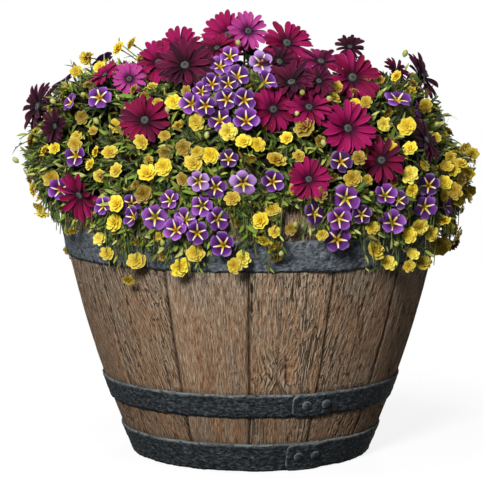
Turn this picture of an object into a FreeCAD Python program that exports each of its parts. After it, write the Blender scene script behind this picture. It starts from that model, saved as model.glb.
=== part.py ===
import FreeCAD, Part
import os
import re
import Sketcher
from math import cos, pi

# Barrel planter: a half barrel of staves and riveted hoops with a boarded bottom head,
# filled with potting mix and planted with one tall daisy and a ring of trailing plants.
# Millimetres, +Z up, origin on the floor at the middle of the barrel, front towards -Y.

DOC = FreeCAD.newDocument("barrel_planter")

SIZES = {
    "barrel_height": 355,        # foot of the staves to the rim
    "rim_radius": 261,           # outside of the staves at the rim
    "base_radius": 158,          # outside of the staves at the foot
    "stave_bulge": 12,           # outward swell of the staves at half height
    "stave_thickness": 22,       # at the rim and at the foot
    "stave_count": 14,
    "stave_gap": 0.12,           # degrees left open at each seam
    "seam_bevel": 2.5,           # on the long outer edges of a stave
    "stave_strips": 3,           # flat faces across a stave
    "first_seam": -0.5,          # degrees to the right of the front
    "chime_bevel": 8,            # inside the foot of the staves
    "croze_height": 28,          # floor to the groove that holds the head
    "croze_depth": 5,
    "croze_play": 0.3,
    "head_thickness": 18,
    "head_edge": 9,              # tongue that sits in the croze
    "head_play": 0.5,            # head to staves, all round
    "board_count": 5,
    "board_gap": 0.4,
    "drain_radius": 9,
    "drain_spread": 60,          # middle of the head to an outer drain hole, along the boards
    "hoop_thickness": 2,
    "hoop_play": 0.4,            # hoop to staves
    "bottom_hoop_low": 1,
    "bottom_hoop_width": 38.5,
    "middle_hoop_low": 76.5,
    "middle_hoop_width": 31.5,
    "top_hoop_low": 269.5,
    "top_hoop_width": 40,
    "lap_angle": 19,             # degrees of hoop that lie double
    "lap_azimuth": 25,           # middle of the lap, degrees to the right of the front
    "lap_corner": 5,             # rounding of the strap's outer end
    "lap_taper": 12,             # run-out of the strap where it leaves the lap
    "lap_step": 1.6,             # depth of that run-out
    "rivet_angle": 8,            # degrees between the two rivets of a lap
    "rivet_head_radius": 6.5,
    "rivet_crown_radius": 3.2,   # flat top of the head
    "rivet_head_height": 2,
    "rivet_shank_radius": 2.5,
    "rivet_play": 0.1,
    "soil_drop": 32,             # rim to the top of the potting mix
    "soil_play": 0.3,
    "leaf_gap": 0.3,             # planting to its neighbours
    "plant_gap": 0.2,            # degrees between two trailing plants
    "daisy_plant_radius": 150,
    "daisy_plant_rise": 210,     # rim to the crown of the daisy plant
    "daisy_plant_shoulder": 34,  # crown down to its shoulder
    "daisy_tuft_radius": 95,     # ring of tufts round the crown
    "daisy_tuft_drop": 5,        # crown down to the middle of a tuft's slope
    "daisy_tuft_height": 18,     # hollow to top of a tuft
    "daisy_crown_radius": 45,
    "first_plant": -20,          # middle of the first trailing plant, degrees to the right of the front
    "trail_reach": 16,           # rim to the furthest leaves of a trailing plant
    "trail_hang": 94,            # rim down to its hanging edge
    "trail_tip": 12,             # its thickness at the hanging edge
    "trail_skirt_drop": 30,      # rim down to where it starts to draw in
    "trail_belly_rise": 42,      # rim up to its widest place
    "trail_waist_rise": 105,     # rim up to the hollow above that
    "trail_waist_inset": 32,     # depth of the hollow
    "trail_shoulder_rise": 135,  # rim up to its shoulder
    "trail_shoulder_inset": 34,  # how far it has leant back there
    "trail_crease": 40,          # depth of the creases between its tufts, above the rim
}

SHEET = DOC.addObject("Spreadsheet::Sheet", "Sizes")
for row, (alias, number) in enumerate(SIZES.items(), start=1):
    SHEET.set(f"A{row}", alias)
    SHEET.set(f"B{row}", str(number))
    SHEET.setAlias(f"B{row}", alias)
DOC.recompute()

UP = FreeCAD.Vector(0, 0, 1)
FULL_TURN = 360
SUBPARTS = []


def cell(word):
    """Name of the cell that holds a size; other words stay."""
    return f"Sizes.{word[0]}" if word[0] in SIZES else word[0]


def formula(text):
    """Point the size names in a formula at their cells."""
    return re.sub(r"[a-z]\w*", cell, text)


def value(text):
    """Work a formula out as a number."""
    return float(SHEET.evalExpression(formula(text)))


def bind(item, **formulas):
    """Bind properties of an object to formulas of the sizes."""
    for name, text in formulas.items():
        item.setExpression(name, formula(text))


def subpart(item, label, turn=0):
    """Name a finished piece and turn it about the barrel's axis."""
    item.Label = label
    item.Placement = FreeCAD.Placement(FreeCAD.Vector(), FreeCAD.Rotation(UP, turn))
    SUBPARTS.append(item)


def facing(azimuth):
    """Turn from +X to a direction given in degrees to the right of the front."""
    return azimuth - 90


def outer_radius(height):
    """Outside of the staves at a height: a straight taper plus the swell."""
    share = f"(({height}) / barrel_height)"
    taper = f"(rim_radius - base_radius) * {share}"
    swell = f"4 * stave_bulge * {share} * (1 - {share})"
    return f"(base_radius + {taper} + {swell})"


def inner_radius(height):
    """Inside of the staves at a height, planed straight."""
    return f"(base_radius - stave_thickness + (rim_radius - base_radius) * ({height}) / barrel_height)"


def add(first, second):
    return f"({first}) + ({second})"


def less(first, second):
    return f"({first}) - ({second})"


# Sketches

def draw_profile(body, corners, plane="XZ_Plane"):
    """Closed straight-sided profile in a plane of the body, each corner held by its formulas."""
    sketch = body.newObject("Sketcher::SketchObject", body.Name + "_profile")
    sketch.AttachmentSupport = [(item, "") for item in body.Origin.OriginFeatures if item.Role == plane]
    sketch.MapMode = "FlatFace"
    points = [FreeCAD.Vector(value(across), value(along), 0) for across, along in corners]
    count = len(points)
    for side, start in enumerate(points):
        sketch.addGeometry(Part.LineSegment(start, points[(side + 1) % count]), False)
    for side in range(count):
        sketch.addConstraint(Sketcher.Constraint("Coincident", side, 2, (side + 1) % count, 1))
    for side, (across, along) in enumerate(corners):
        fix_point(sketch, side, "DistanceX", across, -2)
        fix_point(sketch, side, "DistanceY", along, -1)
    return sketch


def fix_point(sketch, side, direction, distance, axis):
    """Hold the start of a side at a distance from the origin, or on the axis where that is nothing."""
    if distance == "0":
        sketch.addConstraint(Sketcher.Constraint("PointOnObject", side, 1, axis))
        return
    rule = Sketcher.Constraint(direction, -1, 1, side, 1, value(distance))
    index = sketch.addConstraint(rule)
    sketch.setExpression(f"Constraints[{index}]", formula(distance))


def revolve(body, corners, angle):
    """Revolve a profile about the upright axis, evenly to both sides of the XZ plane."""
    sketch = draw_profile(body, corners)
    turned = body.newObject("PartDesign::Revolution", sketch.Name + "_turned")
    turned.Profile = sketch
    turned.ReferenceAxis = (sketch, ["V_Axis"])
    turned.Midplane = True
    bind(turned, Angle=angle)
    DOC.recompute()
    return turned


def from_axis(point):
    """Distance of a point from the barrel's axis."""
    return (point.x ** 2 + point.y ** 2) ** 0.5


def edges_where(shape, wanted):
    """Names of the edges whose middle point passes a test."""
    names = []
    for number, edge in enumerate(shape.Edges, start=1):
        middle = edge.valueAt((edge.FirstParameter + edge.LastParameter) / 2)
        if wanted(edge, middle):
            names.append(f"Edge{number}")
    return names


# Staves

STAVE_RUNS = 6
STAVE_LEVELS = ["0"] + [f"barrel_height * {run} / {STAVE_RUNS}" for run in range(1, STAVE_RUNS + 1)]
STRIP_TURN = "((360 / stave_count - stave_gap) / stave_strips)"
FAR = "(2 * rim_radius)"
BEVEL_LEAN = 45    # degrees


def stave_corners():
    """Side view of a stave: the swell outside in short runs, the croze cut into its straight inner face."""
    croze_top = "croze_height + head_edge + croze_play"
    croze_radius = add(inner_radius(croze_top), "croze_depth")
    return [
        *[(f"{outer_radius(level)} * cos({STRIP_TURN} / 2)", level) for level in STAVE_LEVELS],
        ("rim_radius - stave_thickness", "barrel_height"),
        (inner_radius(croze_top), croze_top),
        (croze_radius, croze_top),
        (croze_radius, "croze_height"),
        (inner_radius("croze_height"), "croze_height"),
        (inner_radius("chime_bevel"), "chime_bevel"),
        ("base_radius - stave_thickness + chime_bevel", "0"),
    ]


def strip_surroundings():
    """Plan of all that lies beside one strip, which widens from the barrel's axis outwards."""
    side = f"{FAR} * tan({STRIP_TURN} / 2)"
    return [
        ("0", "0"),
        (FAR, side),
        (FAR, FAR),
        ("0 - rim_radius", FAR),
        ("0 - rim_radius", f"0 - {FAR}"),
        (FAR, f"0 - {FAR}"),
        (FAR, f"0 - {side}"),
    ]


def beyond_bevel():
    """Side view of what the bevel of a seam takes away, seen square to the bevel."""
    lean = f"({BEVEL_LEAN} + seam_bevel / rim_radius * 180 / pi)"
    faces = [(f"{outer_radius(level)} * cos({lean})", level) for level in STAVE_LEVELS]
    return faces + [(FAR, "barrel_height"), (FAR, "0")]


def cut_away(body, sketch):
    """Take a sketch away right through the body."""
    pocket = body.newObject("PartDesign::Pocket", sketch.Name + "_cut")
    pocket.Profile = sketch
    pocket.Type = "ThroughAll"
    pocket.SideType = "Symmetric"


def add_stave(number):
    """A stave: its side view as a thick slab, trimmed to one flat strip that is repeated round the axis."""
    body = DOC.addObject("PartDesign::Body", f"stave_{number:02d}")
    side_view = draw_profile(body, stave_corners())
    slab = body.newObject("PartDesign::Pad", body.Name + "_slab")
    slab.Profile = side_view
    slab.SideType = "Symmetric"
    bind(slab, Length="rim_radius")
    cut_away(body, draw_profile(body, strip_surroundings(), "XY_Plane"))
    blank = body.newObject("PartDesign::PolarPattern", body.Name + "_blank")
    blank.TransformMode = "Whole shape"
    blank.Axis = (side_view, ["V_Axis"])
    bind(blank, Angle=f"{STRIP_TURN} * (stave_strips - 1)", Occurrences="stave_strips")
    body.Tip = blank
    first_seam = f"0 - {STRIP_TURN} / 2 - {BEVEL_LEAN}"
    last_seam = f"{STRIP_TURN} * (stave_strips - 1 / 2) + {BEVEL_LEAN}"
    for square_on in (first_seam, last_seam):
        bevel = draw_profile(body, beyond_bevel())
        swing = FreeCAD.Rotation(FreeCAD.Vector(0, 1, 0), value(square_on))
        bevel.AttachmentOffset = FreeCAD.Placement(FreeCAD.Vector(), swing)
        bind(bevel, **{"AttachmentOffset.Rotation.Angle": square_on})
        cut_away(body, bevel)
    half_stave = value(f"{STRIP_TURN} * (stave_strips - 1) / 2")
    middle = value("first_seam") + (number - 0.5) * FULL_TURN / value("stave_count")
    subpart(body, body.Name, facing(middle) - half_stave)


# Bottom head

def head_floor_radius():
    """Radius of the head above its tongue."""
    return less(inner_radius("croze_height + head_edge"), "head_play")


def head_tongue_radius():
    croze_top = "croze_height + head_edge + croze_play"
    return less(add(inner_radius(croze_top), "croze_depth"), "head_play")


def add_head():
    blank = DOC.addObject("PartDesign::Body", "head_blank")
    top = "croze_height + head_thickness"
    tongue_top = "croze_height + head_edge"
    revolve(blank, [
        ("0", "croze_height"),
        (head_tongue_radius(), "croze_height"),
        (head_tongue_radius(), tongue_top),
        (head_floor_radius(), tongue_top),
        (head_floor_radius(), top),
        ("0", top),
    ], "360")
    board_count = int(value("board_count"))
    width = f"(2 * ({head_tongue_radius()}) / board_count)"
    middle_board = (board_count - 1) / 2
    holes = DOC.addObject("Part::Compound", "drain_holes")
    holes.Links = [add_drain_tool(index - middle_board, width) for index in range(1, board_count - 1)]
    for index in range(board_count):
        add_board(blank, holes, index, index - middle_board, width)


def add_board(blank, holes, index, step, width):
    """One board of the head: a strip of the round blank with its share of the holes."""
    strip = DOC.addObject("Part::Box", f"board_strip_{index + 1}")
    bind(strip, Length=f"2 * ({head_tongue_radius()})", Width=less(width, "board_gap"))
    bind(strip, Height="barrel_height")
    bind(strip, **{
        "Placement.Base.x": f"0 - ({head_tongue_radius()})",
        "Placement.Base.y": f"({step} - 0.5) * {width} + board_gap / 2",
    })
    plank = DOC.addObject("Part::Common", f"board_plank_{index + 1}")
    plank.Base = blank
    plank.Tool = strip
    board = DOC.addObject("Part::Cut", f"head_board_{index + 1}")
    board.Base = plank
    board.Tool = holes
    subpart(board, board.Name)


def add_drain_tool(step, width):
    """Bore of one drain hole; the holes lie in a slanting row, one to a board."""
    tool = DOC.addObject("Part::Cylinder", "drain_tool")
    bind(tool, Radius="drain_radius", Height="barrel_height")
    bind(tool, **{"Placement.Base.x": f"{step} * drain_spread", "Placement.Base.y": f"{step} * {width}"})
    return tool


# Hoops and rivets

HOOPS = ("bottom_hoop", "middle_hoop", "top_hoop")


def strap_corners(low, width, inside, outside):
    """Section of a strap that lies along the staves, between two distances from them."""
    high = add(low, width)
    return [
        (add(outer_radius(low), inside), low),
        (add(outer_radius(low), outside), low),
        (add(outer_radius(high), outside), high),
        (add(outer_radius(high), inside), high),
    ]


def add_lap(name):
    """The outer end of a hoop's strap: rounded at its corners, tapered where it runs out on the hoop."""
    low, width = f"{name}_low", f"{name}_width"
    body = DOC.addObject("PartDesign::Body", name + "_lap")
    inside, face = "hoop_play + hoop_thickness / 2", "hoop_play + 2 * hoop_thickness"
    strap = revolve(body, strap_corners(low, width, inside, face), "lap_angle")
    rounded = body.newObject("PartDesign::Fillet", name + "_strap_end")
    rounded.Base = (strap, lap_edges(strap.Shape, name, end=-1, upright=False))
    bind(rounded, Radius="lap_corner")
    DOC.recompute()
    tapered = body.newObject("PartDesign::Chamfer", name + "_run_out")
    tapered.Base = (rounded, lap_edges(rounded.Shape, name, end=1, upright=True))
    tapered.ChamferType = "Two distances"
    bind(tapered, Size="lap_step", Size2="lap_taper")
    DOC.recompute()
    return body


def add_hoop(name):
    lap = add_lap(name)
    body = DOC.addObject("PartDesign::Body", name)
    low, width = f"{name}_low", f"{name}_width"
    revolve(body, strap_corners(low, width, "hoop_play", "hoop_play + hoop_thickness"), "360")
    joined = body.newObject("PartDesign::Boolean", name + "_joined")
    joined.Type = "Fuse"
    joined.addObjects([lap])
    DOC.recompute()
    for side in (-1, 1):
        hole = body.newObject("PartDesign::SubtractiveCylinder", f"{name}_rivet_hole")
        inside = FreeCAD.Placement(UP * value("-3 * hoop_thickness"), FreeCAD.Rotation())
        hole.Placement = rivet_place(name, side).multiply(inside)
        bind(hole, Radius="rivet_shank_radius + rivet_play", Height="4 * hoop_thickness")
    subpart(body, name, facing(value("lap_azimuth")))


def lap_edges(shape, name, end, upright):
    """Edges at one end of the lap: the upright one on its face, or the short ones at its corners."""
    half_turn = value("lap_angle") / 2
    height = value(f"{name}_width")
    thickness = value("hoop_thickness")
    face = value(add(outer_radius(f"{name}_low + {name}_width / 2"), "hoop_play + 1.5 * hoop_thickness"))
    across = FreeCAD.Rotation(UP, end * half_turn).multVec(FreeCAD.Vector(0, 1, 0))

    def at_lap_end(edge, middle):
        if abs(middle.dot(across)) > thickness / 10 or middle.x < 0:
            return False
        if upright:
            return edge.Length > height / 2 and from_axis(middle) > face
        return edge.Length < 2 * thickness

    return edges_where(shape, at_lap_end)


def rivet_place(name, side):
    """Seat of a rivet on the lap: its axis stands square to the sloping strap."""
    low, width = f"{name}_low", f"{name}_width"
    middle = f"{low} + {width} / 2"
    lean = less(outer_radius(add(low, width)), outer_radius(low))
    radius = (value(outer_radius(low)) + value(outer_radius(add(low, width)))) / 2
    radius += value("hoop_play + 2 * hoop_thickness")
    outwards = FreeCAD.Vector(value(width), 0, -value(lean)).normalize()
    swing = FreeCAD.Rotation(UP, side * value("rivet_angle") / 2)
    turn = swing.multiply(FreeCAD.Rotation(UP, outwards))
    return FreeCAD.Placement(swing.multVec(FreeCAD.Vector(radius, 0, value(middle))), turn)


def add_rivet(name, side):
    body = DOC.addObject("PartDesign::Body", f"{name}_rivet")
    shank_end = "rivet_play - 2 * hoop_thickness"
    revolve(body, [
        ("0", shank_end),
        ("rivet_shank_radius", shank_end),
        ("rivet_shank_radius", "rivet_play"),
        ("rivet_head_radius", "rivet_play"),
        ("rivet_crown_radius", "rivet_play + rivet_head_height"),
        ("0", "rivet_play + rivet_head_height"),
    ], "360")
    body.Placement = rivet_place(name, side)
    return body


def add_rivets():
    """All the rivets, two in the lap of each hoop."""
    group = DOC.addObject("Part::Compound", "hoop_rivets")
    group.Links = [add_rivet(name, side) for name in HOOPS for side in (-1, 1)]
    subpart(group, "hoop_rivets", facing(value("lap_azimuth")))


# Potting mix and planting

SOIL_TOP = "barrel_height - soil_drop"
LEAF_SIDES = 24
SIDES_TO_A_TUFT = 4


def turned_point(radius, azimuth, height):
    return FreeCAD.Rotation(UP, azimuth).multVec(FreeCAD.Vector(radius, 0, height))


def add_mass(name, outlines):
    """Closed solid with flat sides through outlines of equally many points."""
    faces = [Part.Face(Part.makePolygon(outline + outline[:1])) for outline in (outlines[0], outlines[-1])]
    for near, far in zip(outlines, outlines[1:]):
        for here in range(len(near)):
            after = (here + 1) % len(near)
            first = Part.makePolygon([near[here], near[after], far[after], near[here]])
            second = Part.makePolygon([near[here], far[after], far[here], near[here]])
            faces += [Part.Face(first), Part.Face(second)]
    mass = DOC.addObject("Part::Feature", name)
    mass.Shape = Part.Solid(Part.Shell(faces)).removeSplitter()
    return mass


def level_outline(radius, height, sides):
    """Many-sided ring at a height."""
    return [turned_point(value(radius), side * FULL_TURN / sides, value(height)) for side in range(sides)]


def add_potting_mix():
    floor = "croze_height + head_thickness"
    sides = 2 * int(value("stave_count"))
    outlines = []
    for level in (floor, SOIL_TOP):
        outlines.append(level_outline(less(inner_radius(level), "soil_play"), level, sides))
    subpart(add_mass("potting_mix", outlines), "potting_mix")


def add_daisy_plant():
    """The tall plant: an upright core with a ring of tufts round its crown."""
    crown = "barrel_height + daisy_plant_rise"
    shoulder = f"{crown} - daisy_plant_shoulder"
    outlines = [level_outline("daisy_plant_radius", level, LEAF_SIDES) for level in (SOIL_TOP, shoulder)]
    tufts = []
    for side in range(LEAF_SIDES):
        swell = cos(2 * pi * side / SIDES_TO_A_TUFT)
        rise = f"{crown} - daisy_tuft_drop + daisy_tuft_height / 2 * {swell}"
        tufts.append(turned_point(value("daisy_tuft_radius"), side * FULL_TURN / LEAF_SIDES, value(rise)))
    outlines += [tufts, level_outline("daisy_crown_radius", crown, LEAF_SIDES)]
    subpart(add_mass("daisy_plant", outlines), "daisy_plant")


# Trailing plants round the rim, from the front left one on: what each adds to reach, hang and lean.
TRAILING_PLANTS = {
    "front_left": (0, 12, 0),
    "front_right": (2, 6, 0),
    "right": (23, 6, 21),
    "back_right": (0, -4, 0),
    "back_left": (2, 2, 0),
    "left": (23, -40, -14),
}
FULLNESS = (0.6, 0.95, 1, 0.75, 1, 0.95, 0.6)    # from one side of a plant to the other, over its two tufts
SECTION_TURN = FULL_TURN / len(TRAILING_PLANTS) / (len(FULLNESS) - 1)
SIDE_ROOM = f"cos({SECTION_TURN / 2})"           # a flat side lies this much nearer the axis than its corners


def clear_of_hoops(level):
    """Least distance from the axis of leaves that hang in front of the hoops and their rivets."""
    proud = "hoop_play + 2 * hoop_thickness + rivet_play + rivet_head_height + leaf_gap"
    return f"(({add(outer_radius(level), proud)}) / {SIDE_ROOM})"


def trailing_section(more_reach, more_hang, more_lean, fullness):
    """Outline of a trailing plant in an upright plane: on the soil, over the rim and down outside."""
    rim_top = "barrel_height + leaf_gap"
    tip = f"barrel_height - (trail_hang + {more_hang}) * {fullness}"
    skirt = "barrel_height - trail_skirt_drop"
    reach = f"(rim_radius + (trail_reach + {more_reach}) * {fullness})"
    leaning = f"({reach} - {more_lean} - trail_crease * (1 - {fullness}))"
    core = f"(daisy_plant_radius + leaf_gap) / {SIDE_ROOM}"
    return [
        (core, SOIL_TOP),
        (less(inner_radius(SOIL_TOP), "leaf_gap"), SOIL_TOP),
        (less(inner_radius("barrel_height"), "leaf_gap"), rim_top),
        (clear_of_hoops("barrel_height"), rim_top),
        (clear_of_hoops(tip), tip),
        (add(clear_of_hoops(tip), "trail_tip"), tip),
        (add(clear_of_hoops(skirt), "trail_tip"), skirt),
        (reach, "barrel_height + trail_belly_rise"),
        (f"{leaning} - trail_waist_inset", "barrel_height + trail_waist_rise"),
        (f"{leaning} - trail_shoulder_inset", "barrel_height + trail_shoulder_rise"),
        (core, "barrel_height + daisy_plant_rise - daisy_plant_shoulder"),
    ]


def add_trailing_plant(name, order, extras):
    spread = FULL_TURN / len(TRAILING_PLANTS) - value("plant_gap")
    sections = []
    for place, fullness in enumerate(FULLNESS):
        azimuth = spread * (place / (len(FULLNESS) - 1) - 0.5)
        corners = trailing_section(*extras, fullness)
        sections.append([turned_point(value(radius), azimuth, value(level)) for radius, level in corners])
    plant = add_mass(f"trailing_plant_{name}", sections)
    subpart(plant, plant.Name, facing(value("first_plant") + order * FULL_TURN / len(TRAILING_PLANTS)))


# The whole planter

for number in range(1, int(value("stave_count")) + 1):
    add_stave(number)
add_head()
for hoop in HOOPS:
    add_hoop(hoop)
add_rivets()
add_potting_mix()
add_daisy_plant()
for order, (plant, extras) in enumerate(TRAILING_PLANTS.items()):
    add_trailing_plant(plant, order, extras)
DOC.recompute()

faults = [item.Label for item in DOC.Objects if {"Invalid", "Error"} & set(item.State)]
faults += [item.Label for item in SUBPARTS if item.Shape.isNull() or not item.Shape.isValid()]
if faults:
    raise RuntimeError("not built: " + ", ".join(faults))

os.makedirs("parts", exist_ok=True)
for item in SUBPARTS:
    item.Shape.exportStep(f"parts/{item.Label}.step")
print(len(SUBPARTS), "sub-parts")
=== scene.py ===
from itertools import compress, product
from math import pi, radians

import bpy
import numpy as np
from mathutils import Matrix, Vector
from mathutils.bvhtree import BVHTree


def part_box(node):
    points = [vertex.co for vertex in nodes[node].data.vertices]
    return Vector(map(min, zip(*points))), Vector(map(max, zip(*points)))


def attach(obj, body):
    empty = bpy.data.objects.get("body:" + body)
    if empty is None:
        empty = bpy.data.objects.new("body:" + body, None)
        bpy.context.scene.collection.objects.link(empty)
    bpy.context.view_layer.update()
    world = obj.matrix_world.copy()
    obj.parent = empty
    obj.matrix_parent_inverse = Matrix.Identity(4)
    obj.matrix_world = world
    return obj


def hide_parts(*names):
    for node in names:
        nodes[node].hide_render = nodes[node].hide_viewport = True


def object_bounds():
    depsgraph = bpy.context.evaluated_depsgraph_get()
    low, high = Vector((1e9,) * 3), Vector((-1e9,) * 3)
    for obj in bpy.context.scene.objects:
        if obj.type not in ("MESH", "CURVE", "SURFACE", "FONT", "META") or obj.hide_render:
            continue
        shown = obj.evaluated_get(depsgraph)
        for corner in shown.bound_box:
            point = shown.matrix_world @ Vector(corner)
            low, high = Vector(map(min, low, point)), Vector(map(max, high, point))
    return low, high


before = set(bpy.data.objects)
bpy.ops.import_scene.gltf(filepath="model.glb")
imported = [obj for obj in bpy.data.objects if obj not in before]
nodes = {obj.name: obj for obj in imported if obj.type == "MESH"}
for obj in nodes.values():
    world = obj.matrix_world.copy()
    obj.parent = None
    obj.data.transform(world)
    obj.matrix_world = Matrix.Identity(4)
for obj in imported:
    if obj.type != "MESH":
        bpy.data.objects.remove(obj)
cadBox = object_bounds()
print("frame loaded,", len(nodes), "nodes")


# small helpers

def unit(v):
    return v / np.maximum(np.linalg.norm(v, axis=-1, keepdims=True), 1e-9)


def dot(a, b):
    return (a * b).sum(-1, keepdims=True)


def ease(x, low, high):  # 0 below low, 1 above high, soft between
    t = np.clip((x - low) / (high - low), 0, 1)
    return t * t * (3 - 2 * t)


def heading(degrees):  # level direction, degrees to the right of the front
    a = np.radians(degrees)
    return np.stack([np.sin(a), -np.cos(a), np.zeros_like(a)], -1)


def upBy(height):
    return np.array([0, 0, height])


def turns(count):  # once round in equal steps
    return np.arange(count) / count * 2 * pi


def crossed(first, second):  # every pair of both, the second running faster
    return (x.ravel() for x in np.meshgrid(first, second, indexing="ij"))


def roundAxis(reach, turn, height):  # points about the upright axis
    return np.stack([reach * np.cos(turn), reach * np.sin(turn), height], -1).reshape(-1, 3)


def towards(turn, rise):  # direction from two angles
    return np.stack([np.cos(turn) * np.cos(rise), np.sin(turn) * np.cos(rise), np.sin(rise)], -1)


def heightsOf(name):
    low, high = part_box(name)
    return low.z, high.z


def cornersOf(name):
    mesh = nodes[name].data
    spots = np.empty(len(mesh.vertices) * 3)
    mesh.vertices.foreach_get("co", spots)
    return spots.reshape(-1, 3)


def lumps(spots, seed):  # soft random hills from -1 to 1, one to a cell
    cell = np.floor(spots).astype(np.int64)
    part = spots - cell
    part = part * part * (3 - 2 * part)
    steps = np.array([73856093, 19349663, 83492791])[:spots.shape[1]]
    total = np.zeros(len(spots))
    for corner in product((0, 1), repeat=spots.shape[1]):
        mix = ((cell + corner) @ steps + seed * 374761393) & 0xFFFFFFFF
        mix = ((mix ^ (mix >> 15)) * 0x2C1B3C6D) & 0xFFFFFFFF
        mix = ((mix ^ (mix >> 12)) * 0x297A2D39) & 0xFFFFFFFF
        hill = ((mix ^ (mix >> 15)) & 0xFFFF) / 32767.5 - 1
        total += hill * np.prod(np.where(corner, part, 1 - part), axis=1)
    return total


def gridFaces(rows, cols, closed=False):  # four-sided faces over rows of points
    steps = np.arange(cols if closed else cols - 1)
    here = (np.arange(rows - 1)[:, None] * cols + steps).ravel()
    after = (np.arange(rows - 1)[:, None] * cols + (steps + 1) % cols).ravel()
    return np.stack([here, after, after + cols, here + cols], 1)


def newPiece(name, spots, faces, materials, slots=None, marks=None, maps=None):
    mesh = bpy.data.meshes.new(name)
    mesh.vertices.add(len(spots))
    mesh.vertices.foreach_set("co", np.asarray(spots, np.float32).ravel())
    around = np.concatenate([f.ravel() for f in faces]).astype(np.int32)
    sides = np.concatenate([np.full(len(f), f.shape[1]) for f in faces])
    mesh.loops.add(len(around))
    mesh.loops.foreach_set("vertex_index", around)
    mesh.polygons.add(len(sides))
    starts = np.concatenate([[0], np.cumsum(sides)[:-1]])
    mesh.polygons.foreach_set("loop_start", starts.astype(np.int32))
    for material in materials:
        mesh.materials.append(material)
    if slots is not None:
        mesh.polygons.foreach_set("material_index", np.asarray(slots, np.int32))
    mesh.update(calc_edges=True)
    mesh.shade_smooth()
    for label, values in (marks or {}).items():
        kept = mesh.attributes.new(label, "FLOAT", "POINT")
        kept.data.foreach_set("value", np.asarray(values, np.float32))
    for label, values in (maps or {}).items():
        sheet = mesh.uv_layers.new(name=label)
        sheet.uv.foreach_set("vector", np.asarray(values, np.float32)[around].ravel())
    piece = bpy.data.objects.new(name, mesh)
    bpy.context.scene.collection.objects.link(piece)
    return piece


# shader helpers

def tint(*screen):  # screen colour to the shader's scale
    return [((c / 255 + 0.055) / 1.055) ** 2.4 if c > 10 else c / 3294.6 for c in screen] + [1]


def feed(tree, socket, wanted):
    if isinstance(wanted, bpy.types.NodeSocket):
        tree.links.new(wanted, socket)
    else:
        socket.default_value = wanted


def put(tree, kind, **wanted):  # names with a capital are sockets, the rest are settings
    node = tree.nodes.new("ShaderNode" + kind)
    for key, value in wanted.items():
        if key[0].isupper():
            feed(tree, node.inputs[key], value)
        else:
            setattr(node, key, value)
    return node


def sums(tree, operation, first, second=0.0):
    node = put(tree, "Math", operation=operation)
    feed(tree, node.inputs[0], first)
    feed(tree, node.inputs[1], second)
    return node.outputs[0]


def times(tree, first, second):
    return sums(tree, "MULTIPLY", first, second)


def awayFrom(tree, value, middle):
    return sums(tree, "ABSOLUTE", sums(tree, "SUBTRACT", value, middle))


def mark(tree, name):
    return put(tree, "Attribute", attribute_name=name).outputs["Fac"]


def band(tree, value, low, high, bottom=0.0, top=1.0):
    node = put(tree, "MapRange", interpolation_type="SMOOTHSTEP", Value=value)
    for key, number in (("From Min", low), ("From Max", high), ("To Min", bottom), ("To Max", top)):
        feed(tree, node.inputs[key], number)
    return node.outputs[0]


def mixed(tree, share, first, second, way="MIX"):
    node = put(tree, "Mix", data_type="RGBA", blend_type=way)
    feed(tree, node.inputs[0], share)
    feed(tree, node.inputs[6], first)
    feed(tree, node.inputs[7], second)
    return node.outputs[2]


def ramp(tree, value, stops, way="LINEAR"):
    node = put(tree, "ValToRGB", Fac=value)
    node.color_ramp.interpolation = way
    while len(node.color_ramp.elements) < len(stops):
        node.color_ramp.elements.new(1.0)
    for element, (at, colour) in zip(node.color_ramp.elements, stops):
        element.position = at
        element.color = colour
    return node.outputs[0]


def noise(tree, spots, scale, detail=3.0, rough=0.55):
    scaled = put(tree, "VectorMath", operation="MULTIPLY")
    feed(tree, scaled.inputs[0], spots)
    feed(tree, scaled.inputs[1], scale)
    made = put(tree, "TexNoise", Vector=scaled.outputs[0], Scale=1.0, Detail=detail, Roughness=rough)
    return made.outputs["Fac"]


def mapOf(tree, name):
    return put(tree, "UVMap", uv_map=name).outputs[0]


def solidPlace(tree):
    return put(tree, "TexCoord").outputs["Object"]


def petalPlace(tree):  # across and along a leaf or petal
    split = put(tree, "SeparateXYZ", Vector=mapOf(tree, "petalMap"))
    return split.outputs["X"], split.outputs["Y"]


def newMaterial(name, roughness, **shader):
    material = bpy.data.materials.new(name)
    material.use_nodes = True
    skin = material.node_tree.nodes["Principled BSDF"]
    skin.inputs["Roughness"].default_value = roughness
    for key, value in shader.items():
        skin.inputs[key.replace("_", " ")].default_value = value
    return material, material.node_tree, skin


def bump(tree, skin, height, distance, strength=1.0):
    node = put(tree, "Bump", Height=height, Distance=distance, Strength=strength)
    tree.links.new(node.outputs[0], skin.inputs["Normal"])


# camera, light and floor

studio = {
    "eye": (0, -2.678, 0.574),
    "pitch": 6.165,              # degrees down
    "yaw": 0.265,                # degrees to the left
    "lens": 148.3,
    "aim": (0, 0, 0.32),
    "lamps": {                   # place, width in metres, watts
        "keyLamp": ((-0.74, -2.6, 1.5), 0.75, 90),
        "topLamp": ((-0.4, -0.5, 2.4), 1.0, 16),
        "backLamp": ((0.5, 2.8, 1.2), 1.0, 24),
    },
    "ambient": 0.042,
    "floorBounce": 0.13,
    "floorLift": 0.86,           # light the floor seems to give, so that it reads as white
    "floorShade": 0.22,          # how much of the lamps' light it shows near the barrel
    "floorNear": 0.3,            # where it starts to fade into the backdrop
    "floorFar": 0.75,
    "floorHalf": 6.0,            # half its side
    "floorDrop": 0.0003,         # below the foot of the barrel
}
eye = np.array(studio["eye"])


def addCamera():
    camera = bpy.data.objects.new("camera", bpy.data.cameras.new("camera"))
    camera.location = studio["eye"]
    camera.rotation_euler = (radians(90 - studio["pitch"]), 0, radians(studio["yaw"]))
    camera.data.lens = studio["lens"]
    bpy.context.scene.collection.objects.link(camera)
    bpy.context.scene.camera = camera


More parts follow.
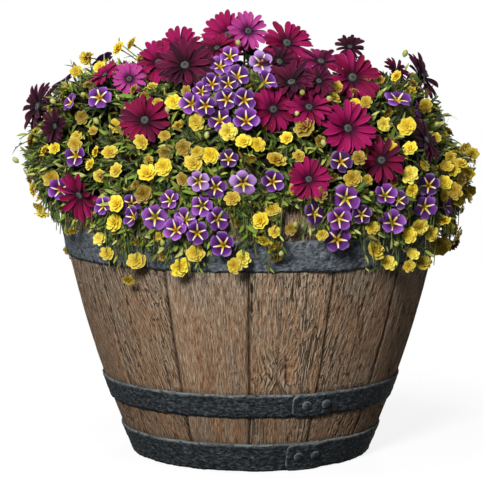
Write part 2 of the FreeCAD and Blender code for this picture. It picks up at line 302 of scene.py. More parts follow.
def addLamps():
    for name, (place, width, watts) in studio["lamps"].items():
        lamp = bpy.data.lights.new(name, "AREA")
        lamp.shape, lamp.size, lamp.energy = "DISK", width, watts
        holder = bpy.data.objects.new(name, lamp)
        holder.location = place
        way = Vector(studio["aim"]) - Vector(place)
        holder.rotation_euler = way.to_track_quat("-Z", "Y").to_euler()
        bpy.context.scene.collection.objects.link(holder)


def seenStraight(tree):  # 1 for the camera and for what mirrors or glass show
    path = put(tree, "LightPath")
    shine = sums(tree, "MAXIMUM", path.outputs["Is Glossy Ray"], path.outputs["Is Transmission Ray"])
    return sums(tree, "MAXIMUM", path.outputs["Is Camera Ray"], shine)


def addWorld():
    world = bpy.data.worlds.new("studioWorld")
    bpy.context.scene.world = world
    world.use_nodes = True
    tree = world.node_tree
    back = tree.nodes["Background"]
    back.inputs["Color"].default_value = (1, 1, 1, 1)
    feed(tree, back.inputs["Strength"], band(tree, seenStraight(tree), 0, 1, studio["ambient"], 1.0))


def addFloor():
    half = studio["floorHalf"]
    spots = np.array([(-half, -half, 0), (half, -half, 0), (half, half, 0), (-half, half, 0)])
    material, tree, skin = newMaterial("paleFloor", 1.0, Specular_IOR_Level=0)
    straight = seenStraight(tree)
    far = put(tree, "VectorMath", operation="LENGTH")
    feed(tree, far.inputs[0], put(tree, "NewGeometry").outputs["Position"])
    reach = studio["floorNear"], studio["floorFar"]
    shade = band(tree, far.outputs["Value"], *reach, studio["floorShade"], 0.0)
    lift = band(tree, far.outputs["Value"], *reach, studio["floorLift"], 1.0)
    grey = studio["floorBounce"]
    seen = put(tree, "CombineColor", Red=shade, Green=shade, Blue=shade).outputs[0]
    feed(tree, skin.inputs["Base Color"], mixed(tree, straight, (grey, grey, grey, 1), seen))
    skin.inputs["Emission Color"].default_value = (1, 1, 1, 1)
    feed(tree, skin.inputs["Emission Strength"], times(tree, straight, lift))
    floor = newPiece("floor", spots, [np.array([[0, 1, 2, 3]])], [material])
    floor.location.z = -studio["floorDrop"]


addCamera()
addLamps()
addWorld()
addFloor()
bpy.context.scene.view_settings.view_transform = "Standard"
print("studio ready")


# staves

staveNames = sorted(name for name in nodes if name.startswith("stave_"))
headNames = sorted(name for name in nodes if name.startswith("head_board"))
staveSpots = np.concatenate([cornersOf(name) for name in staveNames])
staveReach = np.hypot(staveSpots[:, 0], staveSpots[:, 1])
barrelHeight = staveSpots[:, 2].max()
levels = np.unique(staveSpots[:, 2].round(5))
widest = np.array([staveReach[np.abs(staveSpots[:, 2] - level) < 2e-5].max() for level in levels])
straightTaper = np.interp(levels, (0, barrelHeight), (widest[0], widest[-1]))
onSwell = widest > straightTaper - 0.001
swell = np.polyfit(levels[onSwell], widest[onSwell], 2)
rimInside = staveReach[staveSpots[:, 2] > barrelHeight - 1e-5].min()
headSpots = np.concatenate([cornersOf(name) for name in headNames])

oak = {
    "acrossPoints": 80,
    "fringe": (0.004, 0.012, 0.024),     # closer points at both edges, share of the half width
    "levels": 190,
    "insidePoints": 7,
    "bevel": 0.0034,             # worn long edges
    "bevelDepth": 0.0024,
    "endRound": 0.002,           # worn rim and foot
    "fibre": 0.0023,             # spacing of the raised grain
    "fibreRun": 0.022,
    "fibreDepth": 0.0008,
    "pitDepth": 0.0018,
    "archSpacing": 0.017,        # between the pointed arches of a flat-sawn board
    "archMiddle": 0.008,         # their points lie this far aside
    "crozeTall": 0.0093,
    "crozePlay": 0.0005,
    "looks": {                   # grain of the staves that face the front: slant, arch, coarseness, tone
        # a low tone on the side staves is partly painted shade
        "stave_01": (-0.02, 0, 0.72, 0.85),
        "stave_02": (-0.13, 0, 0.95, 0.45),
        "stave_03": (-0.1, 0, 0.95, 0.35),
        "stave_12": (0.12, 0, 0.9, 0.28),
        "stave_13": (0.24, 0, 0.85, 0.38),
        "stave_14": (0.0, 1, 0.3, 0.6),
    },
    "knots": {"stave_01": (-0.012, 0.135, 0.007)},           # across, height, radius
    "cracks": {                  # across and height of both ends, half width
        "stave_01": [
            (-0.03, 0.145, -0.014, 0.12, 0.001), (-0.002, 0.16, 0.001, 0.118, 0.0012),
            (-0.046, 0.262, -0.047, 0.2, 0.0012)],
        "stave_13": [(-0.012, 0.268, -0.013, 0.19, 0.0009), (-0.013, 0.19, -0.005, 0.14, 0.0006)],
        "stave_02": [(0.002, 0.25, -0.004, 0.2, 0.0009)],
    },
}


def outsideAt(height):
    return np.polyval(swell, height)


def insideAt(height):
    return rimInside - (widest[-1] - widest[0]) * (1 - height / barrelHeight)


def grainOf(name, order, across, height):
    slant, arch, coarse, tone = oak["looks"].get(name, (0, 0, 0, 0))
    if name not in oak["looks"]:
        dice = np.random.default_rng(order)
        slant, arch = dice.uniform(-0.1, 0.1), dice.choice([0, 0, 1])
        coarse, tone = dice.uniform(0.4, 0.95), dice.uniform(0.3, 0.65)
    wave = lumps(np.stack([across / 0.05, height / 0.12], 1), order) * 0.004
    grain = across + slant * height + wave
    ragged = lumps(np.stack([height / 0.012, across / 0.01], 1), order + 10)
    aside = np.abs(across - oak["archMiddle"]) + 0.0012 * ragged
    arches = arch * (height + 3.2 * aside + 28 * aside ** 2) / oak["archSpacing"]
    if name in oak["knots"]:
        left, high, radius = oak["knots"][name]
        far = np.hypot(across - left, (height - high) * 0.6)
        grain = grain + np.sign(across - left) * 2.2 * radius * np.exp(-(far / (2.5 * radius)) ** 2)
    return grain, coarse, tone, arches


def crackAt(name, across, height):
    depth = np.zeros_like(across)
    for left, low, right, high, width in oak["cracks"].get(name, ()):
        along = np.array([right - left, high - low])
        long = np.hypot(*along)
        part = ((across - left) * along[0] + (height - low) * along[1]) / long ** 2
        off = np.abs((across - left) * along[1] - (height - low) * along[0]) / long
        off = off + 0.0016 * lumps(np.stack([height / 0.005, across * 0], 1), 71)
        ends = ease(part, -0.05, 0.15) * ease(-part, -1.05, -0.8)
        depth = np.maximum(depth, ends * (1 - ease(np.abs(off), width * 0.4, width * 1.8)))
    return depth


def woodRelief(name, order, across, height, edge):
    grain, coarse, tone, arches = grainOf(name, order, across, height)
    fine = lumps(np.stack([grain / oak["fibre"], height / oak["fibreRun"]], 1), order + 20)
    patch = 0.5 + 0.5 * lumps(np.stack([across / 0.03, height / 0.06], 1), order + 60)
    rough = np.clip(coarse * (0.35 + 0.9 * patch), 0, 1)
    spots = lumps(np.stack([grain / 0.0028, height / 0.0075], 1), order + 80)
    pit = ease(spots, 0.48, 0.75) * rough
    crack = crackAt(name, across, height)
    uneven = lumps(np.stack([height / 0.02, across * 0 + order], 1), order + 90)
    worn = 1 - ease(edge, 0, oak["bevel"] * (1 + 0.5 * uneven))
    depth = oak["fibreDepth"] * (0.4 + 0.9 * rough) * (0.5 - 0.5 * fine)
    depth = depth + oak["pitDepth"] * np.maximum(0.8 * pit, crack) + oak["bevelDepth"] * worn
    marks = {
        "fibre": 0.5 + 0.5 * fine, "pit": np.maximum(0.65 * pit, crack),
        "edge": worn, "rough": rough, "arches": arches}
    return depth, grain, tone, marks


def shifted(tree, spots, step):
    node = put(tree, "VectorMath", operation="ADD")
    feed(tree, node.inputs[0], spots)
    feed(tree, node.inputs[1], step)
    return node.outputs[0]


def splitLine(tree, spots):  # thin lines along the grain, broken here and there
    field = noise(tree, spots, (120, 6, 1), 3, 0.6)
    off = awayFrom(tree, field, 0.5)
    broken = noise(tree, spots, (60, 26, 1), 2, 0.5)
    drawn = band(tree, off, 0.035, 0.01, 0.0, 0.9)
    return times(tree, drawn, band(tree, broken, 0.45, 0.55))


def paintedHoopShade(tree, height):  # painted shade: a dark line where the wood meets the two lower hoops, and the band below the middle hoop darker
    middleLow, middleHigh = heightsOf("middle_hoop")
    bottomHigh = heightsOf("bottom_hoop")[1]
    belowHoop = band(tree, height, middleLow + 0.01, middleHigh - 0.005, 0.8, 0.0)
    aboveHoop = band(tree, height, middleHigh - 0.001, middleHigh + 0.008, 0.6, 0.96)
    nearBottom = band(tree, height, bottomHigh - 0.001, bottomHigh + 0.008, 0.7, 1.0)
    shadeFactor = times(tree, sums(tree, "MAXIMUM", belowHoop, aboveHoop), nearBottom)
    green, blue = times(tree, shadeFactor, 0.985), times(tree, shadeFactor, 0.96)
    return put(tree, "CombineColor", Red=shadeFactor, Green=green, Blue=blue).outputs[0]


def oakMaterial():
    material, tree, skin = newMaterial("weatheredOak", 0.78, Specular_IOR_Level=0.07)
    board = mapOf(tree, "boardMap")
    tone, fibre, pit = mark(tree, "tone"), mark(tree, "fibre"), mark(tree, "pit")
    edge, rough, arches = mark(tree, "edge"), mark(tree, "rough"), mark(tree, "arches")
    threads = noise(tree, board, (620, 80, 1), 4, 0.7)       # fine grain
    checks = noise(tree, board, (330, 105, 1), 4, 0.66)      # short open checks
    # the checks shifted aside, for a painted highlight beside each
    lit = noise(tree, shifted(tree, board, (0.0011, -0.0007, 0)), (330, 105, 1), 4, 0.66)
    streaks = noise(tree, board, (85, 5, 1), 3, 0.55)
    splits = splitLine(tree, board)                          # long thin splits, with a painted highlight along their side
    splitsLit = splitLine(tree, shifted(tree, board, (0.0013, -0.0005, 0)))
    stains = noise(tree, board, (24, 13, 1), 3, 0.6)
    value = sums(tree, "ADD", times(tree, fibre, 0.2), times(tree, threads, 1.8))
    value = sums(tree, "SUBTRACT", value, 0.5)
    colour = ramp(tree, value, [
        (0.2, tint(92, 68, 50)), (0.38, tint(140, 112, 88)), (0.5, tint(166, 138, 112)),
        (0.62, tint(186, 160, 134)), (0.85, tint(214, 194, 168))])
    warm = mixed(tree, 1.0, colour, tint(236, 190, 146), "MULTIPLY")
    colour = mixed(tree, band(tree, streaks, 0.4, 0.65, 0.0, 0.5), colour, warm)
    grey = ramp(tree, value, [
        (0.2, tint(92, 82, 70)), (0.5, tint(154, 140, 124)), (0.85, tint(204, 194, 178))])
    colour = mixed(tree, band(tree, stains, 0.48, 0.66, 0.0, 0.55), colour, grey)
    height = put(tree, "SeparateXYZ", Vector=board).outputs["Y"]
    topLow = heightsOf("top_hoop")[0]
    under = band(tree, height, topLow - 0.07, topLow - 0.006, 0, 0.6)
    bleach = times(tree, under, band(tree, stains, 0.35, 0.6, 0.2, 1))
    colour = mixed(tree, bleach, colour, grey)
    worked = band(tree, rough, 0.05, 0.75, 0.12, 1.0)
    # painted highlight beside the checks and splits, for an embossed look
    paintedCrackLight = sums(tree, "MAXIMUM", band(tree, lit, 0.55, 0.62, 0.0, 0.85), splitsLit)
    paintedCrackLight = times(tree, paintedCrackLight, worked)
    colour = mixed(tree, paintedCrackLight, colour, tint(216, 194, 166))
    opened = sums(tree, "MAXIMUM", band(tree, checks, 0.565, 0.62, 0.0, 0.92), splits)
    opened = times(tree, opened, worked)
    colour = mixed(tree, opened, colour, tint(58, 42, 32))
    line = awayFrom(tree, sums(tree, "FRACT", arches), 0.5)
    drawn = times(tree, band(tree, line, 0.1, 0.03, 0.0, 0.6), band(tree, threads, 0.4, 0.6))
    drawn = times(tree, drawn, band(tree, arches, 0.5, 1.0))
    colour = mixed(tree, drawn, colour, tint(74, 54, 42))
    # painted shade along the lower hoops
    colour = mixed(tree, 1.0, colour, paintedHoopShade(tree, height), "MULTIPLY")
    # staves of low tone go darker brown, partly painted shade on the side staves
    deep = mixed(tree, band(tree, tone, 0.3, 0.65, 0.25, 0.0), colour, tint(96, 74, 58))
    dark = sums(tree, "MAXIMUM", pit, times(tree, edge, 0.8))
    colour = mixed(tree, dark, deep, tint(48, 36, 28))
    feed(tree, skin.inputs["Base Color"], colour)
    feed(tree, skin.inputs["Roughness"], band(tree, threads, 0.3, 0.7, 0.86, 0.66))
    relief = sums(tree, "SUBTRACT", times(tree, threads, 0.6), opened)
    bump(tree, skin, relief, 0.003, 1.0)
    return material


def staveRings():  # levels of the points, closer at the croze and at both ends
    tall = oak["crozeTall"]
    croze = headSpots[:, 2].min() + np.array([-0.0001, 0, tall, tall + 0.0001])
    ends = [0.001, barrelHeight - 0.001, barrelHeight - 0.0022]
    even = np.linspace(0, barrelHeight, oak["levels"])
    return np.unique(np.concatenate([even, croze, ends])), croze


def staveBack(rings, croze, half):  # inner face with the croze
    height, across = crossed(rings, np.linspace(1, -1, oak["insidePoints"]))
    headReach = np.hypot(headSpots[:, 0], headSpots[:, 1]).max()
    groove = (height > croze[0] + 5e-5) & (height < croze[3] - 5e-5)
    reach = np.where(groove, headReach + oak["crozePlay"], insideAt(height))
    return np.stack([reach, across * half, height], 1).reshape(len(rings), -1, 3)


def addStave(name, order, material):
    spots = cornersOf(name)
    middle = unit(spots[:, :2].mean(0))
    turn = np.arctan2(middle[1], middle[0])
    half = np.abs((np.arctan2(spots[:, 1], spots[:, 0]) - turn + pi) % (2 * pi) - pi).max()
    fringe = np.array(oak["fringe"])
    share = np.unique(np.concatenate([np.linspace(-1, 1, oak["acrossPoints"]), fringe - 1, 1 - fringe]))
    rings, croze = staveRings()
    z, a = crossed(rings, share)
    across = a * half * outsideAt(barrelHeight / 2)  # grain follows the taper
    edge = (1 - np.abs(a)) * half * outsideAt(z)
    depth, grain, tone, marks = woodRelief(name, order, across, z, edge)
    ends = np.minimum(z, barrelHeight - z)
    depth = depth + oak["endRound"] * (1 - ease(ends, 0, 0.0035))
    cols = len(share)
    outer = np.stack([outsideAt(z) - depth, a * half, z], 1).reshape(len(rings), cols, 3)
    ring = np.concatenate([outer, staveBack(rings, croze, half)], 1)
    count = ring.shape[1]
    flat = ring.reshape(-1, 3)
    placed = roundAxis(flat[:, 0], turn + flat[:, 1], flat[:, 2])
    walls = gridFaces(len(rings), count, closed=True)
    bottom = np.arange(count)[None, ::-1]
    top = (len(rings) - 1) * count + np.arange(count)[None]
    faces = [walls, bottom, top]

    def spread(values, fill):  # values of the outer face, with the inner face filled in
        wide = np.empty((len(rings), count))
        wide[:, :cols] = values.reshape(len(rings), cols)
        wide[:, cols:] = fill
        return wide.ravel()

    backGrain = np.linspace(1, -1, oak["insidePoints"]) * half * outsideAt(barrelHeight / 2)
    boardMap = np.stack([spread(grain, backGrain) + order * 0.4, flat[:, 2]], 1)
    marks = {key: spread(values, 0.5 if key == "fibre" else 0) for key, values in marks.items()}
    marks["tone"] = np.full(len(flat), tone)
    maps = {"boardMap": boardMap}
    piece = newPiece(name + "_planed", placed, faces, [material], None, marks, maps)
    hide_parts(name)
    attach(piece, "root")


oakSkin = oakMaterial()
for order, name in enumerate(staveNames):
    addStave(name, order, oakSkin)
print("staves planed,", len(staveNames))


# bottom head

def boardMaterial():
    material, tree, skin = newMaterial("plainSawnBoard", 0.8, Specular_IOR_Level=0.3)
    place = solidPlace(tree)
    rings = noise(tree, place, (9, 160, 40), 4, 0.6)
    patches = noise(tree, place, (4, 18, 8), 2, 0.5)
    colour = ramp(tree, rings, [
        (0.3, tint(92, 72, 54)), (0.5, tint(128, 104, 82)), (0.7, tint(154, 130, 106))])
    dull = band(tree, patches, 0.45, 0.7, 0, 0.6)
    feed(tree, skin.inputs["Base Color"], mixed(tree, dull, colour, tint(88, 74, 62)))
    bump(tree, skin, rings, 0.0008, 0.7)
    return material


boardSkin = boardMaterial()
for name in headNames:
    nodes[name].data.materials.clear()
    nodes[name].data.materials.append(boardSkin)
print("head boards finished,", len(headNames))


# hoops and rivets

iron = {
    "play": 0.0004,
    "thick": 0.002,
    "lapPlay": 0.0003,
    "lapFrom": 15.5,             # degrees to the right of the front
    "lapTo": 34.5,
    "runOut": 6.0,               # degrees over which the strap runs out
    "under": 17.0,               # degrees of strap that lie below the lap
    "corner": 0.009,
    "edgeRound": 0.0015,
    "step": 0.0013,              # spacing of the points
    "dent": 0.0007,
    "wobble": 0.0006,            # uneven edges
    # tone rises towards the top hoop, partly painted light from above
    "tones": {"bottom_hoop": 0.15, "middle_hoop": 0.28, "top_hoop": 0.85},
    "rivetRadius": 0.0066,
    "rivetHeight": 0.0036,
    "rivetFoot": 0.0025,         # depth in the strap
    "rivetPoints": 15,           # along one side of its grid
}


def ironMaterial():
    material, tree, skin = newMaterial("blackenedIron", 0.5, Metallic=0.0, Specular_IOR_Level=0.012)
    place = solidPlace(tree)
    grit = noise(tree, place, (380, 380, 560), 2, 0.5)
    cloud = noise(tree, place, (22, 22, 60), 3, 0.6)
    knocks = noise(tree, place, (170, 170, 300), 2, 0.55)    # flat pebbles of the hammer
    dent, worn = mark(tree, "dent"), mark(tree, "worn")
    tone, plain = mark(tree, "tone"), mark(tree, "plain")
    knobbly = sums(tree, "ADD", times(tree, knocks, 0.7), times(tree, grit, 0.3))
    colour = ramp(tree, knobbly, [
        (0.3, tint(24, 27, 29)), (0.46, tint(44, 48, 51)),
        (0.56, tint(64, 69, 72)), (0.7, tint(98, 104, 106))])
    # paler iron for a high tone: partly painted light from above, partly a paler worn top hoop
    pale = ramp(tree, knobbly, [
        (0.3, tint(62, 68, 74)), (0.5, tint(106, 113, 120)), (0.7, tint(142, 149, 154))])
    colour = mixed(tree, band(tree, tone, 0.2, 0.85, 0.0, 0.85), colour, pale)
    # painted highlight on the top edges, the strap's end and the rivet rims
    edgeHighlight = times(tree, worn, band(tree, cloud, 0.35, 0.6, 0.45, 0.95))
    colour = mixed(tree, edgeHighlight, colour, tint(142, 148, 148))
    # near black in the hammer pits, and painted shade along the lower edges and round the rivet feet
    colour = mixed(tree, band(tree, dent, 0.42, 0.08, 0, 0.75), colour, tint(10, 12, 14))
    rust = band(tree, cloud, 0.62, 0.76, 0, 0.3)
    colour = mixed(tree, rust, colour, tint(70, 60, 52))
    feed(tree, skin.inputs["Base Color"], colour)
    feed(tree, skin.inputs["Roughness"], band(tree, grit, 0.3, 0.7, 0.5, 0.75))
    relief = times(tree, knobbly, band(tree, plain, 0, 1, 1.0, 0.15))
    bump(tree, skin, relief, 0.005, 0.9)
    return material


def strapSection(width):  # across and out, the front face first, and the points of that face
    rim = iron["edgeRound"]
    flatShare = np.linspace(rim, width - rim, int(width / iron["step"]))
    face = np.concatenate([[0, rim * 0.3], flatShare, [width - rim * 0.3, width]])
    near = np.minimum(face, width - face)
    rounded = np.sqrt(np.maximum(rim ** 2 - np.maximum(rim - near, 0) ** 2, 0))
    swellOut = iron["thick"] - rim + rounded
    back = [(width, 0), (width / 2, 0), (0, 0)]
    return np.concatenate([np.stack([face, swellOut], 1), back]), len(face)


def addHoop(name, order, material):
    low, high = heightsOf(name)
    foot = np.array([outsideAt(low) + iron["play"], low])
    rise = np.array([outsideAt(high) + iron["play"], high]) - foot
    width = np.hypot(*rise)
    upward = rise / width
    outward = np.array([upward[1], -upward[0]])
    length = 2 * pi * outsideAt((low + high) / 2)
    degrees = np.linspace(0, 360 + iron["under"], int(length * 1.05 / iron["step"]))
    corner = iron["corner"] / length * 360 * np.linspace(0, 0.4, 8)
    degrees = np.unique(np.concatenate([degrees, corner]))
    section, faceCount = strapSection(width)
    front = np.arange(len(section)) < faceCount
    run = degrees / 360 * length
    s, w = np.meshgrid(run, section[:, 0], indexing="ij")
    out = np.broadcast_to(section[:, 1], s.shape).copy()
    flat = np.stack([s.ravel(), w.ravel()], 1)
    coarse = lumps(flat / (0.0052, 0.004), order + 200).reshape(s.shape)
    fine = lumps(flat / (0.0029, 0.0025), order + 210).reshape(s.shape)
    hammered = 0.65 * coarse + 0.45 * fine
    out += np.where(front, iron["dent"] * hammered, 0)
    lap = iron["lapTo"] - iron["lapFrom"]
    lift = 1 - ease(degrees, lap - iron["runOut"], lap)
    out += (lift * (iron["thick"] + iron["lapPlay"]))[:, None]
    fromEnd = np.minimum(run, run[-1] - run)
    rounding = np.maximum(iron["corner"] - fromEnd, 0)
    narrow = iron["corner"] - np.sqrt(np.maximum(iron["corner"] ** 2 - rounding ** 2, 0))
    centred = (w - width / 2) * (1 - 2 * narrow / width)[:, None]
    wobble = lumps(np.stack([run / 0.013, run * 0], 1), order + 220)[:, None] * iron["wobble"]
    w = centred + width / 2 + wobble * (centred / width * 2) ** 2
    reach = foot[0] + w * upward[0] + out * outward[0]
    height = foot[1] + w * upward[1] + out * outward[1]
    way = heading(iron["lapFrom"] + degrees)
    placed = np.stack([way[:, :1] * reach, way[:, 1:2] * reach, np.maximum(height, 0.0)], -1)
    placed = placed.reshape(-1, 3)
    count = len(section)
    start = np.arange(count)[None]
    end = (len(degrees) - 1) * count + np.arange(count)[None, ::-1]
    # painted highlight along the top edge and at the strap's end, kept as the worn mark
    topEdge = ease(section[:, 0], width - 0.0042, width - 0.0012) * front
    strapEnd = (1 - ease(run, 0, 0.003))[:, None] * front
    worn = np.maximum(topEdge[None] * (0.75 + 0.25 * fine), strapEnd * 0.8)
    # painted shade along the strap's lower edge
    bottomEdgeShade = 0.6 * (1 - ease(section[:, 0], 0.001, 0.0045))
    marks = {
        "dent": np.where(front, 0.5 + 0.4 * hammered - bottomEdgeShade, 0.5).ravel(),
        "worn": np.clip(worn, 0, 1).ravel(),
        "tone": np.full(len(placed), iron["tones"][name]),
        "plain": np.zeros(len(placed))}
    faces = [gridFaces(len(degrees), count, closed=True)[:, ::-1], start, end]
    piece = newPiece(name + "_strap", placed, faces, [material], None, marks)
    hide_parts(name)
    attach(piece, "root")


def discForm(points):  # a square grid pressed into a round
    line = np.linspace(-1, 1, points)
    v, u = crossed(line, line)
    flat = np.stack([u * np.sqrt(1 - v * v / 2), v * np.sqrt(1 - u * u / 2)], 1)
    return flat, gridFaces(points, points)


def rivetDome(far):  # a raised crown inside a rounded rim
    rim = np.sqrt(np.maximum(1 - (np.maximum(far - 0.8, 0) / 0.2) ** 2, 0))
    crown = 0.35 * np.sqrt(np.maximum(1 - (far / 0.7) ** 2, 0))
    return 0.65 * rim + crown - 0.2 * np.exp(-((far - 0.68) / 0.08) ** 2)


def rivetSkirt(points):  # the dome's edge, and faces from there down into the strap
    steps = np.arange(points - 1)
    last = points ** 2 - 1
    edge = [steps, steps * points + points - 1, last - steps, last - points + 1 - steps * points]
    edge = np.concatenate(edge)
    below = points ** 2 + np.arange(len(edge))
    return edge, np.stack([below, np.roll(below, -1), np.roll(edge, -1), edge], 1)


def addRivets(material):
    corners = cornersOf("hoop_rivets")
    flat, faces = discForm(iron["rivetPoints"])
    edge, skirt = rivetSkirt(iron["rivetPoints"])
    plainSkirt = np.zeros(len(edge))
    far = np.hypot(*flat.T)
    # painted highlight on the upper-left arc of the rim, kept as the worn mark
    lit = np.clip(0.55 - 0.3 * flat[:, 0] + 0.4 * flat[:, 1], 0, 1)
    ring = np.exp(-((far - 0.86) / 0.1) ** 2) * lit
    spots, allFaces, dentsAndFootShade, tones, worn = [], [], [], [], []
    for name in iron["tones"]:
        low, high = heightsOf(name)
        mine = corners[(corners[:, 2] > low) & (corners[:, 2] < high)]
        bearing = np.degrees(np.arctan2(mine[:, 0], -mine[:, 1]))
        for side in (bearing < bearing.mean(), bearing > bearing.mean()):
            level = heading(bearing[side].mean())
            out = unit(level - upBy((outsideAt(high) - outsideAt(low)) / (high - low)))
            along = unit(np.cross((0, 0, 1.0), out))
            up = np.cross(out, along)
            base = (outsideAt(low) + outsideAt(high)) / 2 + iron["play"] + 2 * iron["thick"]
            middle = level * base + upBy((low + high) / 2)
            rough = 1 + 0.04 * lumps(np.stack([flat[:, 0] * 3 + len(spots), flat[:, 1] * 3], 1), 230)
            tall = rivetDome(far) * iron["rivetHeight"] * rough
            wide = flat * iron["rivetRadius"] * rough[:, None]
            made = middle + wide[:, :1] * along + wide[:, 1:] * up + tall[:, None] * out
            foot = made[edge] - (tall[edge, None] + iron["rivetFoot"]) * out
            first = sum(map(len, spots))
            spots.append(np.concatenate([made, foot]))
            allFaces += [faces + first, skirt + first]
            # painted shade round the dome's foot and on its skirt
            dentsAndFootShade.append(np.concatenate([0.45 - 0.45 * (far > 0.96), plainSkirt]))
            worn.append(np.concatenate([ring, plainSkirt]))
            tones.append(np.full(len(spots[-1]), iron["tones"][name] + 0.1))
    spots = np.concatenate(spots)
    marks = {
        "dent": np.concatenate(dentsAndFootShade), "tone": np.concatenate(tones),
        "worn": np.concatenate(worn), "plain": np.ones(len(spots))}
    piece = newPiece("hoop_rivets_domed", spots, allFaces, [material], None, marks)
    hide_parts("hoop_rivets")
    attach(piece, "root")


ironSkin = ironMaterial()
for order, name in enumerate(iron["tones"]):
    addHoop(name, order, ironSkin)
addRivets(ironSkin)
print("hoops and rivets done")


# potting mix

soil = {
    "around": 120,
    "wallRings": 12,
    "rings": 34,                 # on the top
    "play": 0.001,               # to the staves
    "sink": 0.004,               # below the brim of its solid
    "heap": 0.0025,
    "lump": 0.011,
    "grain": 0.0045,
}


def soilMaterial():
    material, tree, skin = newMaterial("pottingMix", 0.95, Specular_IOR_Level=0.2)
    place = solidPlace(tree)
    crumbs = noise(tree, place, (260, 260, 260), 5, 0.65)
    flecks = noise(tree, place, (520, 520, 520), 1, 0.5)
    colour = ramp(tree, crumbs, [
        (0.3, tint(24, 17, 12)), (0.55, tint(52, 38, 28)), (0.75, tint(82, 62, 46))])
    colour = mixed(tree, band(tree, flecks, 0.68, 0.74), colour, tint(170, 160, 140))
    feed(tree, skin.inputs["Base Color"], colour)
    bump(tree, skin, crumbs, 0.003, 0.9)
    return material


def addSoil():
    low, high = heightsOf("potting_mix")
    corners = cornersOf("potting_mix")
    topReach = np.hypot(*corners[corners[:, 2] > high - 1e-4][:, :2].T).min() - soil["play"]
    footReach = np.hypot(*corners[corners[:, 2] < low + 1e-4][:, :2].T).min() - soil["play"]
    turn = turns(soil["around"])
    topRings = np.linspace(1, 0.02, soil["rings"])
    wall = np.linspace(footReach, topReach, soil["wallRings"])
    reach = np.concatenate([[footReach * 0.02], wall, topReach * topRings[1:]])
    wallTall = np.linspace(low, high, soil["wallRings"])
    tall = np.concatenate([[low], wallTall, np.full(soil["rings"] - 1, high)])
    r, a = np.meshgrid(reach, turn, indexing="ij")
    z = np.broadcast_to(tall[:, None], r.shape).copy()
    spots = roundAxis(r, a, z)
    upper = (spots[:, 2] > high - 1e-6) & (np.hypot(spots[:, 0], spots[:, 1]) < topReach - 1e-4)
    hills = lumps(spots / soil["lump"], 300) + 0.6 * lumps(spots / soil["grain"], 301)
    spots[:, 2] -= np.where(upper, soil["sink"] + soil["heap"] * hills, 0)
    ring = np.arange(soil["around"])[None]
    walls = gridFaces(len(reach), soil["around"], closed=True)
    faces = [walls, ring[:, ::-1], (len(reach) - 1) * soil["around"] + ring]
    piece = newPiece("potting_mix_crumbly", spots, faces, [soilMaterial()])
    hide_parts("potting_mix")
    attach(piece, "root")


addSoil()
print("potting mix laid")


# the shape of the planting

plantNames = sorted(name for name in nodes if "plant" in name)
trailingNames = [name for name in plantNames if "trailing" in name]
planting = {
    "heart": upBy(0.42),         # every side of the planting is seen from here
    "outline": [                 # as the front view shows it, mm on the plane of the barrel's axis
        (-243, 262), (-250, 280), (-265, 315), (-280, 340), (-300, 365), (-315, 390), (-320, 410),
        (-308, 440), (-297, 490), (-240, 516), (-215, 536), (-170, 545), (-105, 570), (-20, 598),
        (20, 594), (55, 580), (125, 562), (180, 537), (215, 535), (262, 505), (258, 465), (270, 425),
        (305, 395), (305, 380), (290, 335), (262, 275), (245, 250), (150, 228), (-150, 228)],
    "leafTop": [                 # the blooms stand clear above this line
        (-297, 480), (-240, 508), (-215, 530), (-170, 536), (-145, 516), (-60, 517), (0, 522),
        (60, 517), (120, 506), (165, 508), (205, 528), (262, 500)],
    "backTop": 518,              # the same line for the back half
    "bare": [                    # left, right, low and high of the gaps where hoop and staves show
        (-240, -205, 236, 286), (-52, 14, 232, 254), (54, 152, 232, 283), (44, 68, 301, 326),
        (-200, -110, 222, 242)],
    "hoopRoom": 0.0036,          # kept free in front of the staves
    "headroom": 0.014,           # for the leaves above the end of a shoot
    "pull": 0.972,               # one step of a tip towards the heart
    "pullSteps": 30,
    "rimSeat": (0.262, 0.367),   # reach and height of stems where they cross the rim
    "soilTop": 0.335,
    "overBox": (0.025, 0.008),   # how far leaves may pass the solids' box: share of a side, metres
    "spots": 26000,              # tried all over the planting
    "crownFrom": 0.44,           # heights of the parts that the front view hardly shows
    "domeFrom": 0.48,
    "domeBehind": 0.01,          # the dome starts this far behind the axis
    "sidesTo": 0.45,
    "petalRoom": 0.022,          # above the seat of a bloom on the dome
}
heart = planting["heart"]
rimReach, rimHeight = planting["rimSeat"]
frontEdge = np.array(planting["outline"], float)
leafTop = np.array(planting["leafTop"], float)


def plantShape():
    spots, faces, owners = [], [], []
    for name in plantNames:
        first = len(spots)
        spots += [Vector(spot) for spot in cornersOf(name)]
        for face in nodes[name].data.polygons:
            faces.append([first + corner for corner in face.vertices])
            owners.append(name)
    return BVHTree.FromPolygons(spots, faces), owners


mound, moundOwners = plantShape()


def meet(start, way):  # where a line first meets the planting
    place, normal, face, far = mound.ray_cast(Vector(start), Vector(way))
    if place is None:
        return None
    return np.array(place), np.array(normal), moundOwners[face], far


def bearingOf(spot):  # degrees to the right of the front
    return np.degrees(np.arctan2(spot[0], -spot[1]))


trailingBearing = {name: bearingOf(cornersOf(name).mean(0)) for name in trailingNames}


def nearestTrailing(spot):
    bearing = bearingOf(spot)
    return min(trailingNames, key=lambda name: abs((trailingBearing[name] - bearing + 180) % 360 - 180))


def fromAround(dice, count):  # spots all over the planting, with outward direction and plant
    found = []
    turn = dice.uniform(0, 2 * pi, count)
    rise = np.arcsin(dice.uniform(-0.5, 1, count))
    for way in towards(turn, rise):
        hit = meet(heart + way * 0.8, -way)
        if hit is None or hit[1] @ way < 0.1:
            continue
        if hit[1][2] < -0.6 and np.hypot(*hit[0][:2]) < widest[-1] + 0.01:
            continue
        found.append((hit[0], unit(0.6 * hit[1] + 0.6 * way), hit[2]))
    return found


